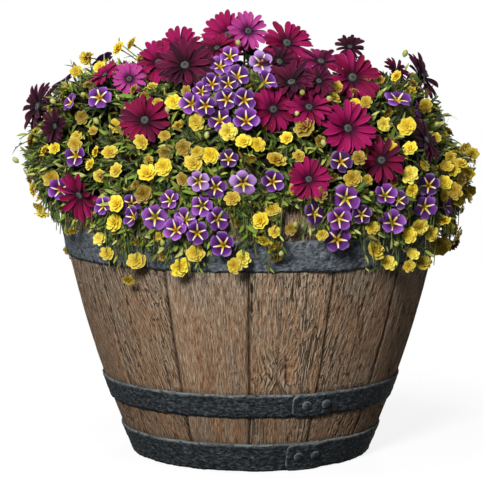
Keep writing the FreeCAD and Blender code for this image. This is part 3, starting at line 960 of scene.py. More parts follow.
def spaced(found, apart, taken=()):  # keeps spots that stand clear of those before them
    cells = {}
    kept = []

    def cellOf(spot):
        return tuple(np.floor(spot / apart).astype(int))

    def crowded(spot):
        cell = cellOf(spot)
        for step in product((-1, 0, 1), repeat=3):
            for other in cells.get(tuple(np.add(cell, step)), ()):
                if np.sum((other - spot) ** 2) < apart ** 2:
                    return True
        return False

    for spot in taken:
        cells.setdefault(cellOf(spot), []).append(spot)
    for item in found:
        if not crowded(item[0]):
            cells.setdefault(cellOf(item[0]), []).append(item[0])
            kept.append(item)
    return kept


def onFace(x, z):  # the planting at a place of the front view
    target = np.array([x, 0, z]) / 1000
    hit = meet(eye, unit(target - eye))
    if hit is None:
        face = mound.find_nearest(Vector(target))[2]
        return target, unit(target - heart), moundOwners[face]
    return hit[0], unit(0.5 * hit[1] + 0.5 * unit(hit[0] - heart)), hit[2]


def inFront(spots):  # places in the front view
    way = spots - eye
    return (eye + way * (-eye[1] / way[:, 1])[:, None])[:, [0, 2]] * 1000


def inEdge(spots):  # inside the outline of the front view
    flat = inFront(spots)
    inside = np.zeros(len(flat), bool)
    for (x0, z0), (x1, z1) in zip(frontEdge, np.roll(frontEdge, -1, 0)):
        crosses = (z0 > flat[:, 1]) != (z1 > flat[:, 1])
        with np.errstate(divide="ignore", invalid="ignore"):
            inside ^= crosses & (flat[:, 0] < (x1 - x0) * (flat[:, 1] - z0) / (z1 - z0) + x0)
    return inside


def inOutline(spots):  # and below the line that only blooms pass
    flat = inFront(spots)
    top = np.interp(flat[:, 0], *leafTop.T)
    top = np.where(spots[:, 1] > 0.03, np.minimum(top, planting["backTop"]), top)
    return inEdge(spots) & (flat[:, 1] < top)


def pullIn(tips, headroom=0.0):  # draws tips back until the front view's outline holds them
    tips = tips.copy()
    for step in range(planting["pullSteps"]):
        wide = ~inOutline(tips + upBy(headroom))
        tips[wide] = heart + (tips[wide] - heart) * planting["pull"]
    return tips


def inBare(spots):
    flat = inFront(spots)
    bare = np.zeros(len(spots), bool)
    for left, right, low, high in planting["bare"]:
        bare |= (flat[:, 0] > left) & (flat[:, 0] < right) & (flat[:, 1] > low) & (flat[:, 1] < high)
    return bare & (spots[:, 1] < 0)


def inBarrel(spots):
    reach = np.hypot(spots[:, 0], spots[:, 1])
    return (spots[:, 2] < barrelHeight) & (reach < outsideAt(spots[:, 2]) + planting["hoopRoom"])


def outOfSight(item):  # hidden from the front by the planting itself
    for lift in (0.0, 0.035):
        spot = item[0] + item[1] * lift + upBy(lift * 0.4)
        hit = meet(eye, unit(spot - eye))
        if hit is None or hit[3] > np.linalg.norm(spot - eye) - 0.03:
            return False
    return True


boxLow, boxHigh = np.array(cadBox[0]), np.array(cadBox[1])
room = (boxHigh - boxLow) * planting["overBox"][0] + planting["overBox"][1]
around = fromAround(np.random.default_rng(11), planting["spots"])
settled = pullIn(np.array([item[0] for item in around]), planting["headroom"])
leafSpots = [(spot, item[1], item[2]) for spot, item in zip(settled, around)]
hidden = [outOfSight(item) for item in around]
shown = [not out for out in hidden]
behind = list(compress(around, hidden))
crown = [item for item in compress(leafSpots, shown) if item[0][1] > 0]
crown = [item for item in crown if item[0][2] > planting["crownFrom"]]
dome = [item for item in compress(around, shown) if item[0][1] > planting["domeBehind"]]
dome = [item for item in dome if item[0][2] > planting["domeFrom"]]
dome = [item for item in dome if inEdge(item[0][None] + upBy(planting["petalRoom"]))[0]]
sides = [item for item in compress(around, shown) if item[0][2] < planting["sidesTo"]]
sides = [item for item in sides if item[1] @ unit(eye - item[0]) < 0.15]
print("planting measured,", len(around), "spots")


# small forms are gathered into one mesh to a plant

tiles = 4                        # tones lie four by four on the colour map


class Bunch:
    def __init__(self):
        self.spots = []
        self.faces = []
        self.maps = []
        self.tones = []
        self.slots = []
        self.count = 0

    def hold(self, spots, faces, inner, tone, slot):
        copies, points = spots.shape[:2]
        shift = self.count + np.arange(copies)[:, None, None] * points
        self.spots.append(spots.reshape(-1, 3))
        self.faces.append((faces[None] + shift).reshape(-1, 4))
        self.maps.append(np.tile(inner, (copies, 1)))
        self.tones.append(np.repeat(np.broadcast_to(tone, copies), points))
        self.slots.append(np.full(copies * len(faces), slot))
        self.count += copies * points

    def scatter(self, form, origin, axes, size, tone, slot):
        points, faces, inner = form
        spots = np.einsum("kc,ncd->nkd", points, axes) * np.reshape(size, (-1, 1, 1)) + origin[:, None]
        self.hold(spots, faces, inner, tone, slot)

    def tubes(self, paths, thick, tone, slot, sides=5):
        steps = paths.shape[1]
        way = unit(np.gradient(paths, axis=1))
        side = unit(np.cross(way, np.array([0.31, 0.17, 0.93])))
        other = np.cross(way, side)
        turn = turns(sides)
        ring = side[:, :, None] * np.cos(turn)[:, None] + other[:, :, None] * np.sin(turn)[:, None]
        spots = paths[:, :, None] + ring * np.reshape(thick, (1, -1, 1, 1))
        spots = spots.reshape(len(paths), -1, 3)
        faces = gridFaces(steps, sides, closed=True)
        self.hold(spots, faces, gridMap(steps, sides), tone, slot)

    def piece(self, name, materials):
        spots = np.concatenate(self.spots)
        inner = np.concatenate(self.maps)
        tone = np.concatenate(self.tones)
        corner = np.stack([tone % tiles, tone // tiles], 1)
        sheet = (corner + 0.05 + 0.9 * np.clip(inner, 0, 1)) / tiles
        marks = {"tone": (tone + 0.5) / tiles ** 2}
        maps = {"petalMap": inner, "OFBake": sheet}
        faces = [np.concatenate(self.faces)]
        made = newPiece(name, spots, faces, materials, np.concatenate(self.slots), marks, maps)
        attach(made, "root")
        return made


def gridMap(rows, cols):  # around and along, from 0 to 1
    return np.stack([np.tile(np.arange(cols) / cols, rows), np.repeat(np.linspace(0, 1, rows), cols)], 1)


def lathe(reach, tall, sides):
    tall = np.repeat(np.asarray(tall)[:, None], sides, 1)
    points = roundAxis(np.asarray(reach)[:, None], turns(sides), tall)
    return points, gridFaces(len(reach), sides, closed=True), gridMap(len(reach), sides)


def axesFrom(along, upward):  # across, along and normal of a leaf or petal
    normal = unit(upward - dot(upward, along) * along)
    return np.stack([np.cross(along, normal), along, normal], -2)


def aimed(axis, spin):  # a bloom's own axes, turned about its stalk
    side = unit(np.cross(axis, np.array([0.12, 0.05, 1.0])))
    other = np.cross(axis, side)
    c = np.cos(spin)[:, None]
    s = np.sin(spin)[:, None]
    return np.stack([side * c + other * s, other * c - side * s, axis], -2)


def curve(root, bend, tip, steps):  # soft curves through three points each
    t = np.asarray(steps)[None, :, None]
    return (1 - t) ** 2 * root[:, None] + 2 * t * (1 - t) * bend[:, None] + t * t * tip[:, None]


def toneStops(colours):
    return [(i / tiles ** 2, tint(*colour)) for i, colour in enumerate(colours)]


# where the blooms stand

layers = {                       # depths at which the front blooms lie
    "first": 0.003,
    "step": 0.01,
    "most": 5,
    "touch": 0.8,                # nearer than this share of both radii is an overlap
}
cover = {                        # a leaf covers a bloom when it lies in front of its face
    "onAxis": 0.02,              # this near along the bloom's axis
    "toEye": 0.09,               # or this near towards the camera
    "under": 0.15,               # share of the radius
    "within": 0.92,
    "cleared": 0.93,             # share of such leaves that are taken away
}
placedBlooms = []                # place, radius and layer of the front blooms so far


def layerFor(x, z, radius):  # blooms that overlap in the front view lie at different depths
    used = set()
    for otherX, otherZ, otherRadius, layer in placedBlooms:
        if np.hypot(x - otherX, z - otherZ) < layers["touch"] * (radius + otherRadius):
            used.add(layer)
    free = [layer for layer in range(layers["most"]) if layer not in used]
    chosen = free[0] if free else layers["most"] - 1
    placedBlooms.append((x, z, radius, chosen))
    return chosen


def frontBlooms(places, tones, dice, camera=0.72, up=0.22, loose=0.22, sink=0.0):
    made = []
    for x, z, size, *facing in places:
        spot, outward, owner = onFace(x, z)
        toEye = unit(eye - spot)
        axis = 0.4 * outward + camera * toEye + upBy(up) + loose * dice.normal(size=3)
        if facing:
            axis = np.array(facing[0]) + 0.08 * dice.normal(size=3)
        lift = layers["first"] + layers["step"] * layerFor(x, z, size / 2) - sink
        made.append({
            "seat": spot + toEye * lift, "axis": unit(axis), "tone": dice.choice(tones), "plant": owner,
            "size": size / 1000 * np.linalg.norm(spot - eye) / -eye[1], "front": True})
    return made


def backBlooms(found, tones, sizes, dice, up, loose, lift):
    made = []
    for spot, outward, owner in found:
        axis = outward + upBy(up) + loose * dice.normal(size=3)
        made.append({
            "seat": spot + outward * lift, "axis": unit(axis), "tone": dice.choice(tones), "plant": owner,
            "size": dice.uniform(*sizes), "front": False})
    return made


def column(blooms, key):
    return np.array([bloom[key] for bloom in blooms])


def seatsOf(blooms):
    return [bloom["seat"] for bloom in blooms]


def hides(blooms, spots, dice):  # true where a leaf would cover a bloom
    covered = np.zeros(len(spots), bool)
    for bloom in blooms:
        off = spots - bloom["seat"]
        radius = bloom["size"] / 2
        ways = [(bloom["axis"], cover["onAxis"])]
        if bloom["front"]:
            ways.append((unit(eye - bloom["seat"]), cover["toEye"]))
        for way, far in ways:
            tall = off @ way
            aside = np.linalg.norm(off - tall[:, None] * way, axis=1)
            level = (tall > -cover["under"] * radius) & (tall < far)
            covered |= level & (aside < cover["within"] * radius)
    return covered & (dice.random(len(spots)) < cover["cleared"])


# daisies

daisies = {
    "petals": 22,
    "scale": 1.05,
    "darker": (1, 2, 3, 3, 4, 6, 2, 0),   # tone of the shaded petals
    "tones": [
        (150, 12, 80), (126, 8, 58), (82, 6, 42), (50, 4, 28), (182, 64, 142), (138, 22, 100),
        (138, 24, 90), (160, 18, 88)],
    "disc": (118, 124, 116),
    "magenta": [                 # x, z and width in mm as the front view shows them, and where they face
        (-123, 522, 60), (-95, 540, 62), (-30, 559, 63, (-0.2, -0.9, 0.35)),
        (136, 502, 72, (0.1, -0.9, 0.3)), (130, 434, 70), (48, 548, 64, (0.05, -0.85, 0.4)),
        (30, 460, 60), (78, 365, 56), (78, 462, 60, (0.1, -0.75, 0.55)),
        (-195, 505, 45, (-0.5, -0.35, 0.75)), (-230, 345, 66, (-0.5, -0.8, -0.25))],
    "crimson": [(-142, 445, 66), (176, 391, 62), (-45, 541, 46)],
    "pink": [(-163, 500, 45)],
    "topPink": [(-4, 564, 52, (0.1, -0.9, 0.35))],
    "violet": [(94, 523, 56)],
    "burgundy": [(-88, 518, 72), (55, 495, 65), (91, 497, 44), (38, 523, 50)],
    "turned": [
        (-285, 463, 65, (-0.75, -0.6, 0.25)), (-262, 437, 46, (-0.75, -0.5, 0.1)),
        (133, 543, 38, (0.1, -0.75, 0.6)), (228, 503, 66, (0.8, -0.3, 0.5)),
        (195, 512, 40, (0.6, -0.4, 0.65)), (235, 418, 60, (0.8, -0.45, 0.35))],
    "order": [                   # list, tones, depth behind the others
        ("magenta", [0, 7], 0.0), ("crimson", [1], 0.006), ("pink", [4], 0.0), ("topPink", [4], -0.045),
        ("violet", [6], 0.0), ("burgundy", [2], 0.012), ("turned", [2, 3], 0.0)],
    "domeApart": 0.056,          # on the back of the dome
    "domeLift": -0.014,
    "backApart": 0.066,
    "backLift": 0.014,
    "backLowest": 0.45,
    "backSizes": (0.052, 0.068),
    "backTones": [0, 0, 0, 1, 1, 2, 4, 5, 7],
    "stalk": 0.0017,
    "stalkFoot": 0.40,           # height where the stalks leave the growth
}


def layDaisies():
    dice = np.random.default_rng(21)
    laid = []
    for label, tones, sink in daisies["order"]:
        laid += frontBlooms(daisies[label], tones, dice, up=0.35, sink=sink)
    tones, sizes = daisies["backTones"], daisies["backSizes"]
    standing = spaced(dome, daisies["domeApart"], seatsOf(laid))
    laid += backBlooms(standing, tones, sizes, dice, 0.5, 0.25, daisies["domeLift"])
    high = [item for item in behind if item[0][2] > daisies["backLowest"]]
    free = spaced(high, daisies["backApart"], seatsOf(laid))
    return laid + backBlooms(free, tones, sizes, dice, 0.35, 0.3, daisies["backLift"])


# star-shaped blooms

stars = {
    "tones": [
        (116, 46, 146), (138, 66, 164), (92, 32, 118), (176, 128, 198), (66, 20, 82), (124, 48, 148)],
    "scale": 0.93,
    "purple": [                  # x, z, width and facing as for the daisies
        (-204, 477, 36), (-41, 519, 32), (-28, 532, 30), (-17, 505, 36), (-66, 485, 28), (-80, 468, 34),
        (-61, 465, 32), (-33, 474, 34), (-8, 473, 34), (-42, 447, 36), (-6, 446, 38), (-237, 398, 34),
        (-258, 352, 34), (-200, 330, 28), (-161, 333, 30), (-130, 315, 40), (-48, 355, 34),
        (30, 363, 34), (-66, 330, 34), (-88, 312, 34), (-44, 312, 36), (-102, 298, 36), (-72, 293, 34),
        (-38, 277, 38), (129, 340, 42), (120, 312, 36), (117, 285, 40), (182, 345, 34), (192, 308, 38),
        (236, 328, 36), (-110, 338, 32), (-52, 495, 30)],
    "lavender": [(14, 523, 36), (-10, 360, 40), (-70, 363, 32)],
    "dark": [
        (-30, 495, 28), (-30, 394, 30), (88, 320, 38), (122, 390, 34), (150, 318, 30), (240, 358, 34),
        (200, 338, 30)],
    "turned": [
        (-243, 470, 30, (-0.8, -0.3, 0.3)), (21, 498, 34, (0.6, -0.5, 0.5)),
        (198, 475, 40, (0.2, -0.5, 0.8)), (227, 460, 28, (0.8, -0.4, 0.3)),
        (-160, 315, 30, (-0.7, -0.6, 0.2)), (265, 330, 30, (0.8, -0.5, 0.1))],
    "backGroups": 15,
    "backEach": 6,
    "backApart": 0.028,
    "groupReach": 0.062,
    "backLift": 0.01,
    "backSizes": (0.031, 0.039),
    "backTones": [0, 0, 1, 2, 3, 4, 5],
    "order": [("purple", [0, 1, 2, 5]), ("lavender", [3]), ("dark", [4]), ("turned", [0, 2])],
}


def layStars(taken):
    dice = np.random.default_rng(31)
    laid = []
    for label, tones in stars["order"]:
        laid += frontBlooms(stars[label], tones, dice)
    places = behind + crown
    chosen = dice.choice(len(places), stars["backGroups"], replace=False)
    middles = np.array([places[i][0] for i in chosen])
    apart = [((middles - item[0]) ** 2).sum(1).min() for item in places]
    close = [item for item, far in zip(places, apart) if far < stars["groupReach"] ** 2]
    free = spaced(close, stars["backApart"], taken)[:stars["backGroups"] * stars["backEach"]]
    back = stars["backTones"], stars["backSizes"]
    return laid + backBlooms(free, *back, dice, 0.2, 0.25, stars["backLift"])


# yellow double blooms

doubles = {
    "scale": 0.91,
    "rings": [                   # reach and height of the petals at foot and tip, and their number
        (0.2, 1.0, -0.08, 0.02, 6), (0.15, 0.72, 0.04, 0.24, 5),
        (0.08, 0.45, 0.15, 0.38, 5), (0.02, 0.2, 0.26, 0.4, 3)],
    # tones 3 and 4, dull ochre, are painted shade
    "tones": [
        (236, 214, 56), (230, 204, 46), (242, 226, 90), (184, 154, 46), (152, 124, 42), (208, 182, 54)],
    "yellow": [                  # x, z, width and facing as for the daisies
        (-178, 542, 22), (-160, 548, 22), (-222, 528, 22), (-234, 511, 20), (-147, 529, 22),
        (-203, 517, 20), (-103, 470, 26), (-73, 443, 26), (-30, 430, 30), (-10, 418, 26), (10, 413, 24),
        (48, 422, 22), (-55, 398, 28), (-78, 388, 28), (-72, 402, 20), (-118, 382, 28), (12, 310, 30),
        (30, 325, 24), (32, 295, 20), (-95, 246, 30), (-75, 265, 28), (-10, 258, 26), (-22, 248, 24),
        (97, 290, 18), (140, 466, 20), (180, 440, 24), (195, 505, 20), (210, 437, 28), (235, 465, 22),
        (214, 408, 24), (190, 410, 18), (-190, 403, 24), (-148, 416, 24), (-140, 375, 30),
        (-182, 378, 22), (-296, 420, 22), (-265, 408, 20), (-182, 333, 26), (-185, 307, 30),
        (-225, 297, 26), (-240, 295, 16), (-195, 265, 22), (-205, 285, 20), (-155, 255, 28),
        (215, 372, 28), (218, 350, 22), (270, 395, 22), (288, 408, 22), (275, 378, 20), (295, 350, 20),
        (228, 300, 32), (215, 290, 24), (165, 300, 22), (170, 270, 30), (187, 253, 26), (260, 310, 24),
        (258, 275, 30), (235, 253, 26), (215, 248, 20), (220, 265, 20), (268, 300, 20), (245, 292, 24),
        (250, 423, 16), (299, 401, 20), (283, 388, 22), (292, 374, 22), (264, 384, 20), (262, 362, 22),
        (279, 338, 22), (262, 345, 20)],
    # blooms in painted shade, drawn in the dull ochre tones
    "ochre": [
        (72, 437, 36), (35, 393, 30), (-93, 366, 20), (-90, 408, 26), (95, 345, 24), (-25, 340, 24),
        (155, 470, 20), (172, 500, 18), (-237, 413, 22), (-298, 368, 22), (-270, 367, 26),
        (-145, 345, 28), (-245, 270, 22), (146, 395, 24), (138, 367, 28), (285, 365, 24),
        (275, 350, 26)],
    "turned": [
        (0, 393, 20, (0.2, -0.5, -0.6)), (18, 282, 24, (-0.3, -0.5, -0.7)),
        (32, 275, 22, (0.5, -0.4, -0.6)), (-209, 403, 18, (-0.8, -0.3, 0.3)),
        (-217, 386, 20, (-0.7, -0.5, 0.2)), (-278, 405, 20, (-0.8, -0.3, 0.4)),
        (300, 390, 18, (0.9, -0.2, 0.2)), (-218, 533, 18, (-0.3, -0.3, 0.9)),
        (285, 325, 16, (0.8, -0.3, -0.3)), (-166, 228, 22, (-0.3, -0.6, -0.6)),
        (168, 241, 20, (-0.1, -0.6, -0.7))],
    "buds": [                    # x and z in the front view
        (-262, 468), (-224, 480), (-120, 275), (-313, 388), (-112, 455), (60, 455), (108, 470),
        (-15, 545), (150, 520), (205, 530), (-205, 440), (250, 440), (70, 480), (-178, 470), (100, 410),
        (-60, 420), (160, 345), (60, 300), (40, 262), (195, 278)],
    "smallApart": 0.021,         # half-hidden ones between the listed blooms
    "smallCount": 85,
    "smallFrom": 0.28,
    "smallTo": 0.5,
    "smallLift": -0.004,
    "smallSizes": (0.014, 0.021),
    # mostly the dull ochre tones, painted shade on these half-hidden blooms
    "smallTones": [3, 3, 4, 4, 5],
    "backApart": 0.03,
    "backCount": 210,
    "backShare": 0.06,           # of the spots are tried
    "backLowest": 0.262,
    "backLift": 0.009,
    "backSizes": (0.02, 0.031),
    "backTones": [0, 0, 0, 1, 2, 3, 4, 5],
}


def layDoubles(taken):
    dice = np.random.default_rng(41)
    laid = frontBlooms(doubles["yellow"], [0, 1, 2, 5, 5], dice, 0.62, 0.15, 0.3)
    laid += frontBlooms(doubles["ochre"], [3, 4], dice, 0.62, 0.15, 0.3)
    laid += frontBlooms(doubles["turned"], [0, 1, 5], dice)
    taken = taken + seatsOf(laid)
    seen = [item for item in around if doubles["smallFrom"] < item[0][2] < doubles["smallTo"]]
    seen = [item for item in seen if item[1] @ unit(eye - item[0]) > 0.2]
    seen = [item for item in seen if not inBare(item[0][None])[0] and inOutline(item[0][None])[0]]
    gaps = spaced(seen, doubles["smallApart"], taken)[:doubles["smallCount"]]
    small = doubles["smallTones"], doubles["smallSizes"]
    laid += backBlooms(gaps, *small, dice, 0.1, 0.5, doubles["smallLift"])
    thin = [item for item in sides + behind + crown if item[0][2] > doubles["backLowest"]]
    thin = [item for item in thin if dice.random() < doubles["backShare"]]
    free = spaced(thin, doubles["backApart"], taken)[:doubles["backCount"]]
    back = doubles["backTones"], doubles["backSizes"]
    return laid + backBlooms(free, *back, dice, 0.1, 0.35, doubles["backLift"])


daisyBlooms = layDaisies()
starBlooms = layStars(seatsOf(daisyBlooms))
doubleBlooms = layDoubles(seatsOf(daisyBlooms + starBlooms))
allBlooms = daisyBlooms + starBlooms + doubleBlooms
print("blooms laid out,", len(daisyBlooms), len(starBlooms), len(doubleBlooms))


# leaves and shoots

leaves = {
    "layers": [                  # shoot spacing, depth, reach, leaf length, share painted in shade tones, lowest, highest
        (0.0108, -0.004, 0.05, 0.0185, 0.33, 0.0, 1.0),
        (0.02, 0.01, 0.05, 0.026, 0.75, 0.375, 1.0),
        (0.0086, 0.0, 0.04, 0.0175, 0.45, 0.0, 0.385)],
    "fewest": 3,                 # a shoot with fewer leaves left isn't grown
    "tuck": 0.005,               # one step back behind a bloom
    "tuckSteps": 3,
    "sway": 0.016,               # hanging shoots cross the rim to either side
    "perShoot": 10,
    "spread": (72, 26),          # degrees between leaf and stem, from foot to tip
    "droopBelow": 0.44,          # shoots lean down below this height
    "riseAbove": 0.48,           # and up above this one
    "lean": 0.3,
    "stem": np.linspace(0.0012, 0.0006, 6),   # radius from foot to tip
    "sprigs": [                  # lone shoots at the outline and over the top hoop
        (-318, 408), (-312, 420), (-304, 400), (-298, 430), (-240, 520), (-230, 508), (-222, 530),
        (-175, 548), (266, 452), (262, 440), (250, 458), (298, 398), (-236, 301), (-226, 308),
        (-246, 312), (-214, 299), (80, 300), (96, 297), (110, 301), (128, 297), (142, 304), (152, 297)],
    "tones": [
        (50, 60, 24), (68, 86, 30), (84, 110, 38), (102, 130, 44), (124, 146, 52), (148, 162, 64),
        (172, 178, 88), (54, 68, 34), (78, 94, 46), (116, 104, 40), (38, 40, 17), (188, 192, 112)],
    "shares": (0.08, 0.11, 0.12, 0.12, 0.12, 0.08, 0.05, 0.05, 0.05, 0.18, 0.02, 0.02),   # of the tones
    "youngTones": [4, 5, 6, 11],
    "shadeTones": [0, 7, 10],
    "stalks": [(98, 122, 56), (78, 102, 48), (112, 98, 60), (190, 180, 70)],
    "broad": (0.03, 0.042),      # length of the leaves on the daisy stalks
    "broadAt": (0.6, 0.75),      # their place along the stalk
}
stalkTone = len(leaves["tones"])
golden = radians(137.5)          # turn from one leaf to the next


def leafForm(bend=0.16, fold=0.22):
    t, a = crossed(np.linspace(0, 1, 6), np.linspace(-1, 1, 3))
    wide = 0.125 * np.sin(pi * np.clip(0.06 + 0.94 * t, 0, 1)) ** 0.75 + 0.015 * (1 - t)
    points = np.stack([a * wide, t, fold * np.abs(a) * wide - bend * t * t + 0.08 * t], 1)
    return points, gridFaces(6, 3), np.stack([a / 2 + 0.5, t], 1)


def broadLeafForm():  # toothed
    t, a = crossed(np.linspace(0, 1, 11), np.linspace(-1, 1, 5))
    end = np.sqrt(np.maximum(1 - ((t - 0.62) / 0.4).clip(0) ** 2, 0.01))
    wide = 0.05 + 0.14 * ease(t, 0.1, 0.65) * end
    teeth = 1 + 0.2 * (np.round(t * 10) % 2) * (np.abs(a) > 0.9)
    points = np.stack([a * wide * teeth, t, 0.12 * np.abs(a) * wide - 0.2 * t * t + 0.12 * t], 1)
    return points, gridFaces(11, 5), np.stack([a / 2 + 0.5, t], 1)


def leafMaterial():
    material, tree, skin = newMaterial("leafGreen", 0.5, Specular_IOR_Level=0.2)
    across, along = petalPlace(tree)
    colour = ramp(tree, mark(tree, "tone"), toneStops(leaves["tones"] + leaves["stalks"]), "CONSTANT")
    off = awayFrom(tree, across, 0.5)
    pale = mixed(tree, 0.35, colour, tint(176, 190, 112))
    colour = mixed(tree, band(tree, off, 0.02, 0.1, 0.8, 0.0), colour, pale)
    slope = sums(tree, "ADD", times(tree, along, 42), times(tree, off, -26))
    veins = sums(tree, "SINE", slope)
    dull = mixed(tree, 1.0, colour, (0.5, 0.5, 0.42, 1), "MULTIPLY")
    colour = mixed(tree, band(tree, along, 0.0, 0.35, 0.5, 0.0), colour, dull)
    lined = mixed(tree, 1.0, colour, (0.6, 0.65, 0.55, 1), "MULTIPLY")
    colour = mixed(tree, band(tree, veins, 0.3, 1.0, 0, 0.16), colour, lined)
    feed(tree, skin.inputs["Base Color"], colour)
    feed(tree, skin.inputs["Roughness"], band(tree, veins, -1, 1, 0.44, 0.56))
    bump(tree, skin, veins, 0.0005, 0.35)
    return material


def shootRoots(tips, way, outward, reach, sway):
    root = tips - way * reach * 0.55 - outward * reach * 0.55
    bend = tips - way * reach * 0.45
    level = unit(tips * (1, 1, 0))
    out = np.hypot(tips[:, :1], tips[:, 1:2])
    hanging = (tips[:, 2:] < rimHeight + 0.012) & (out > rimReach - 0.022)
    overRim = level * rimReach + upBy(rimHeight)
    overBend = level * np.maximum(out - 0.004, rimReach + 0.012) + upBy(rimHeight + 0.004)
    sideways = np.cross(level, upBy(1)) * sway
    root = np.where(hanging, overRim + 1.5 * sideways, root)
    bend = np.where(hanging, overBend + sideways, bend)
    overStave = np.hypot(root[:, 0], root[:, 1]) > rimReach - 0.037
    root[:, 2] = np.maximum(root[:, 2], np.where(overStave, rimHeight - 0.005, planting["soilTop"]))
    return root, bend


def tuckBehind(tips, blooms, dice):  # draws tips back that would cover a bloom
    tips = tips.copy()
    above = tips[:, 2] > barrelHeight + 0.02
    for step in range(leaves["tuckSteps"]):
        over = above & hides(blooms, tips, dice)
        tips[over] += unit(heart - tips[over]) * leaves["tuck"]
    return tips


def leafAxes(dice, spots, outward):  # leaves wind up the stem and turn outward where it hangs
    count, each = spots.shape[:2]
    axis = unit(np.gradient(spots, axis=1))
    side = unit(np.cross(axis, np.array([0.31, 0.17, 0.93])))
    other = np.cross(axis, side)
    turn = golden * np.arange(each)[None, :, None] + dice.uniform(0, 2 * pi, (count, 1, 1))
    radial = np.cos(turn) * side + np.sin(turn) * other
    spread = np.radians(np.linspace(*leaves["spread"], each))[None, :, None]
    spread = spread + 0.16 * dice.normal(size=(count, each, 1))
    hanging = ease(-axis[..., 2:], 0.1, 0.6)
    along = axis * np.cos(spread) * (1 - 0.7 * hanging) + radial * np.sin(spread)
    along = unit(along + hanging * 0.45 * outward[:, None] + upBy(-0.08))
    upward = 0.4 * axis + 0.7 * outward[:, None] + upBy(0.45)
    return axesFrom(along, upward).reshape(-1, 3, 3)


def leafTones(dice, count, steps, darker, free):  # pale tips, dark leaves in the shade
    shape = count, len(steps)
    tone = dice.choice(len(leaves["tones"]), shape, p=leaves["shares"])
    young = ((steps > 0.8)[None] | free) & (dice.random(shape) < 0.6)
    tone = np.where(young, dice.choice(leaves["youngTones"], shape), tone)
    shaded = dice.random(shape) < darker
    return np.where(shaded, dice.choice(leaves["shadeTones"], shape), tone).ravel()


def growShoots(bunch, dice, tips, outward, reach, size, darker, blooms, free=False):
    count = len(tips)
    each = leaves["perShoot"]
    tall = tips[:, 2]
    lean = leaves["lean"] * (1.0 * (tall > leaves["riseAbove"]) - (tall < leaves["droopBelow"]))
    way = unit(outward + 0.5 * dice.normal(size=(count, 3)) + lean[:, None] * upBy(1))
    reach = reach * dice.uniform(0.75, 1.2, (count, 1))
    root, bend = shootRoots(tips, way, outward, reach, dice.normal(size=(count, 1)) * leaves["sway"])
    paths = curve(root, bend, tips, np.linspace(0, 1, 6))
    stalks = stalkTone + dice.integers(0, 3, count)
    crossing = inBare(paths[:, 2:].reshape(-1, 3)).reshape(count, -1).any(1)
    if not free:
        crossing |= hides(blooms, paths[:, 3:].reshape(-1, 3), dice).reshape(count, -1).sum(1) > 1
    steps = np.linspace(0.22, 1.0, each)
    spots = curve(root, bend, tips, steps)
    axes = leafAxes(dice, spots, outward)
    taper = np.interp(steps, (0.2, 0.6, 1), (0.95, 1.05, 0.6))
    big = (size * dice.uniform(0.7, 1.2, (count, each)) * taper).ravel()
    tone = leafTones(dice, count, steps, darker, free)
    spots = spots.reshape(-1, 3)
    ends = spots + axes[:, 1] * big[:, None]
    clear = ((ends > boxLow - room) & (ends < boxHigh + room)).all(1)
    clear &= ~inBare(spots) & ~inBare(ends) & ~inBarrel(spots) & ~inBarrel(ends)
    clear &= ~hides(blooms, (spots + ends) / 2, dice) & ~hides(blooms, ends, dice)
    if not free:
        clear &= inOutline(ends)
    grown = ~crossing & (clear.reshape(count, each).sum(1) >= leaves["fewest"])
    clear &= np.repeat(grown, each)
    if not grown.any():
        return
    bunch.tubes(paths[grown], leaves["stem"], stalks[grown], 0, 4)
    bunch.scatter(leafForm(), spots[clear], axes[clear], big[clear], tone[clear], 0)


def growFoliage():
    dice = np.random.default_rng(12)
    foliage = {name: Bunch() for name in plantNames}
    for apart, sink, reach, size, darker, lowest, highest in leaves["layers"]:
        picked = [item for item in spaced(leafSpots, apart) if lowest < item[0][2] < highest]
        for name in plantNames:
            mine = [item for item in picked if item[2] == name]
            if not mine:
                continue
            tips = np.array([item[0] for item in mine])
            outward = np.array([item[1] for item in mine])
            near = [bloom for bloom in allBlooms if np.abs(tips - bloom["seat"]).max(1).min() < 0.12]
            lift = dice.normal(size=(len(tips), 1)) * 0.005 - sink
            tips = pullIn(tips + outward * lift, planting["headroom"])
            tips = tuckBehind(tips, near, dice)
            keep = ~inBare(tips) & ~inBarrel(tips)
            growShoots(foliage[name], dice, tips[keep], outward[keep], reach, size, darker, near)
    for x, z in leaves["sprigs"]:
        spot, outward, owner = onFace(x, z)
        growShoots(foliage[owner], dice, spot[None], outward[None], 0.08, 0.02, 0.0, allBlooms, True)
    return foliage


def daisyStalks(blooms):
    seats = column(blooms, "seat")
    axis = column(blooms, "axis")
    root = seats * (0.55, 0.55, 0) + (0, 0, daisies["stalkFoot"])
    return root, seats - axis * 0.06, seats - axis * 0.006


def addBroadLeaves(bunch, blooms):
    dice = np.random.default_rng(14)
    root, bend, tip = daisyStalks(blooms)
    for share in leaves["broadAt"]:
        spot = curve(root, bend, tip, [share])[:, 0]
        out = unit(spot - heart + 0.03 * dice.normal(size=spot.shape))
        along = unit(out + 0.5 * dice.normal(size=out.shape))
        big = dice.uniform(*leaves["broad"], len(spot))
        ends = spot + along * big[:, None]
        clear = inOutline(ends) & ~inBare(ends) & ~hides(allBlooms, (spot + ends) / 2, dice)
        axes = axesFrom(along, out + upBy(0.8))
        tone = dice.choice([1, 2, 3, 8], len(spot))
        bunch.scatter(broadLeafForm(), spot[clear], axes[clear], big[clear], tone[clear], 0)


def budForm(sides=8):
    return lathe((0.03, 0.2, 0.34, 0.36, 0.26, 0.06), (0.0, 0.12, 0.35, 0.62, 0.86, 1.0), sides)


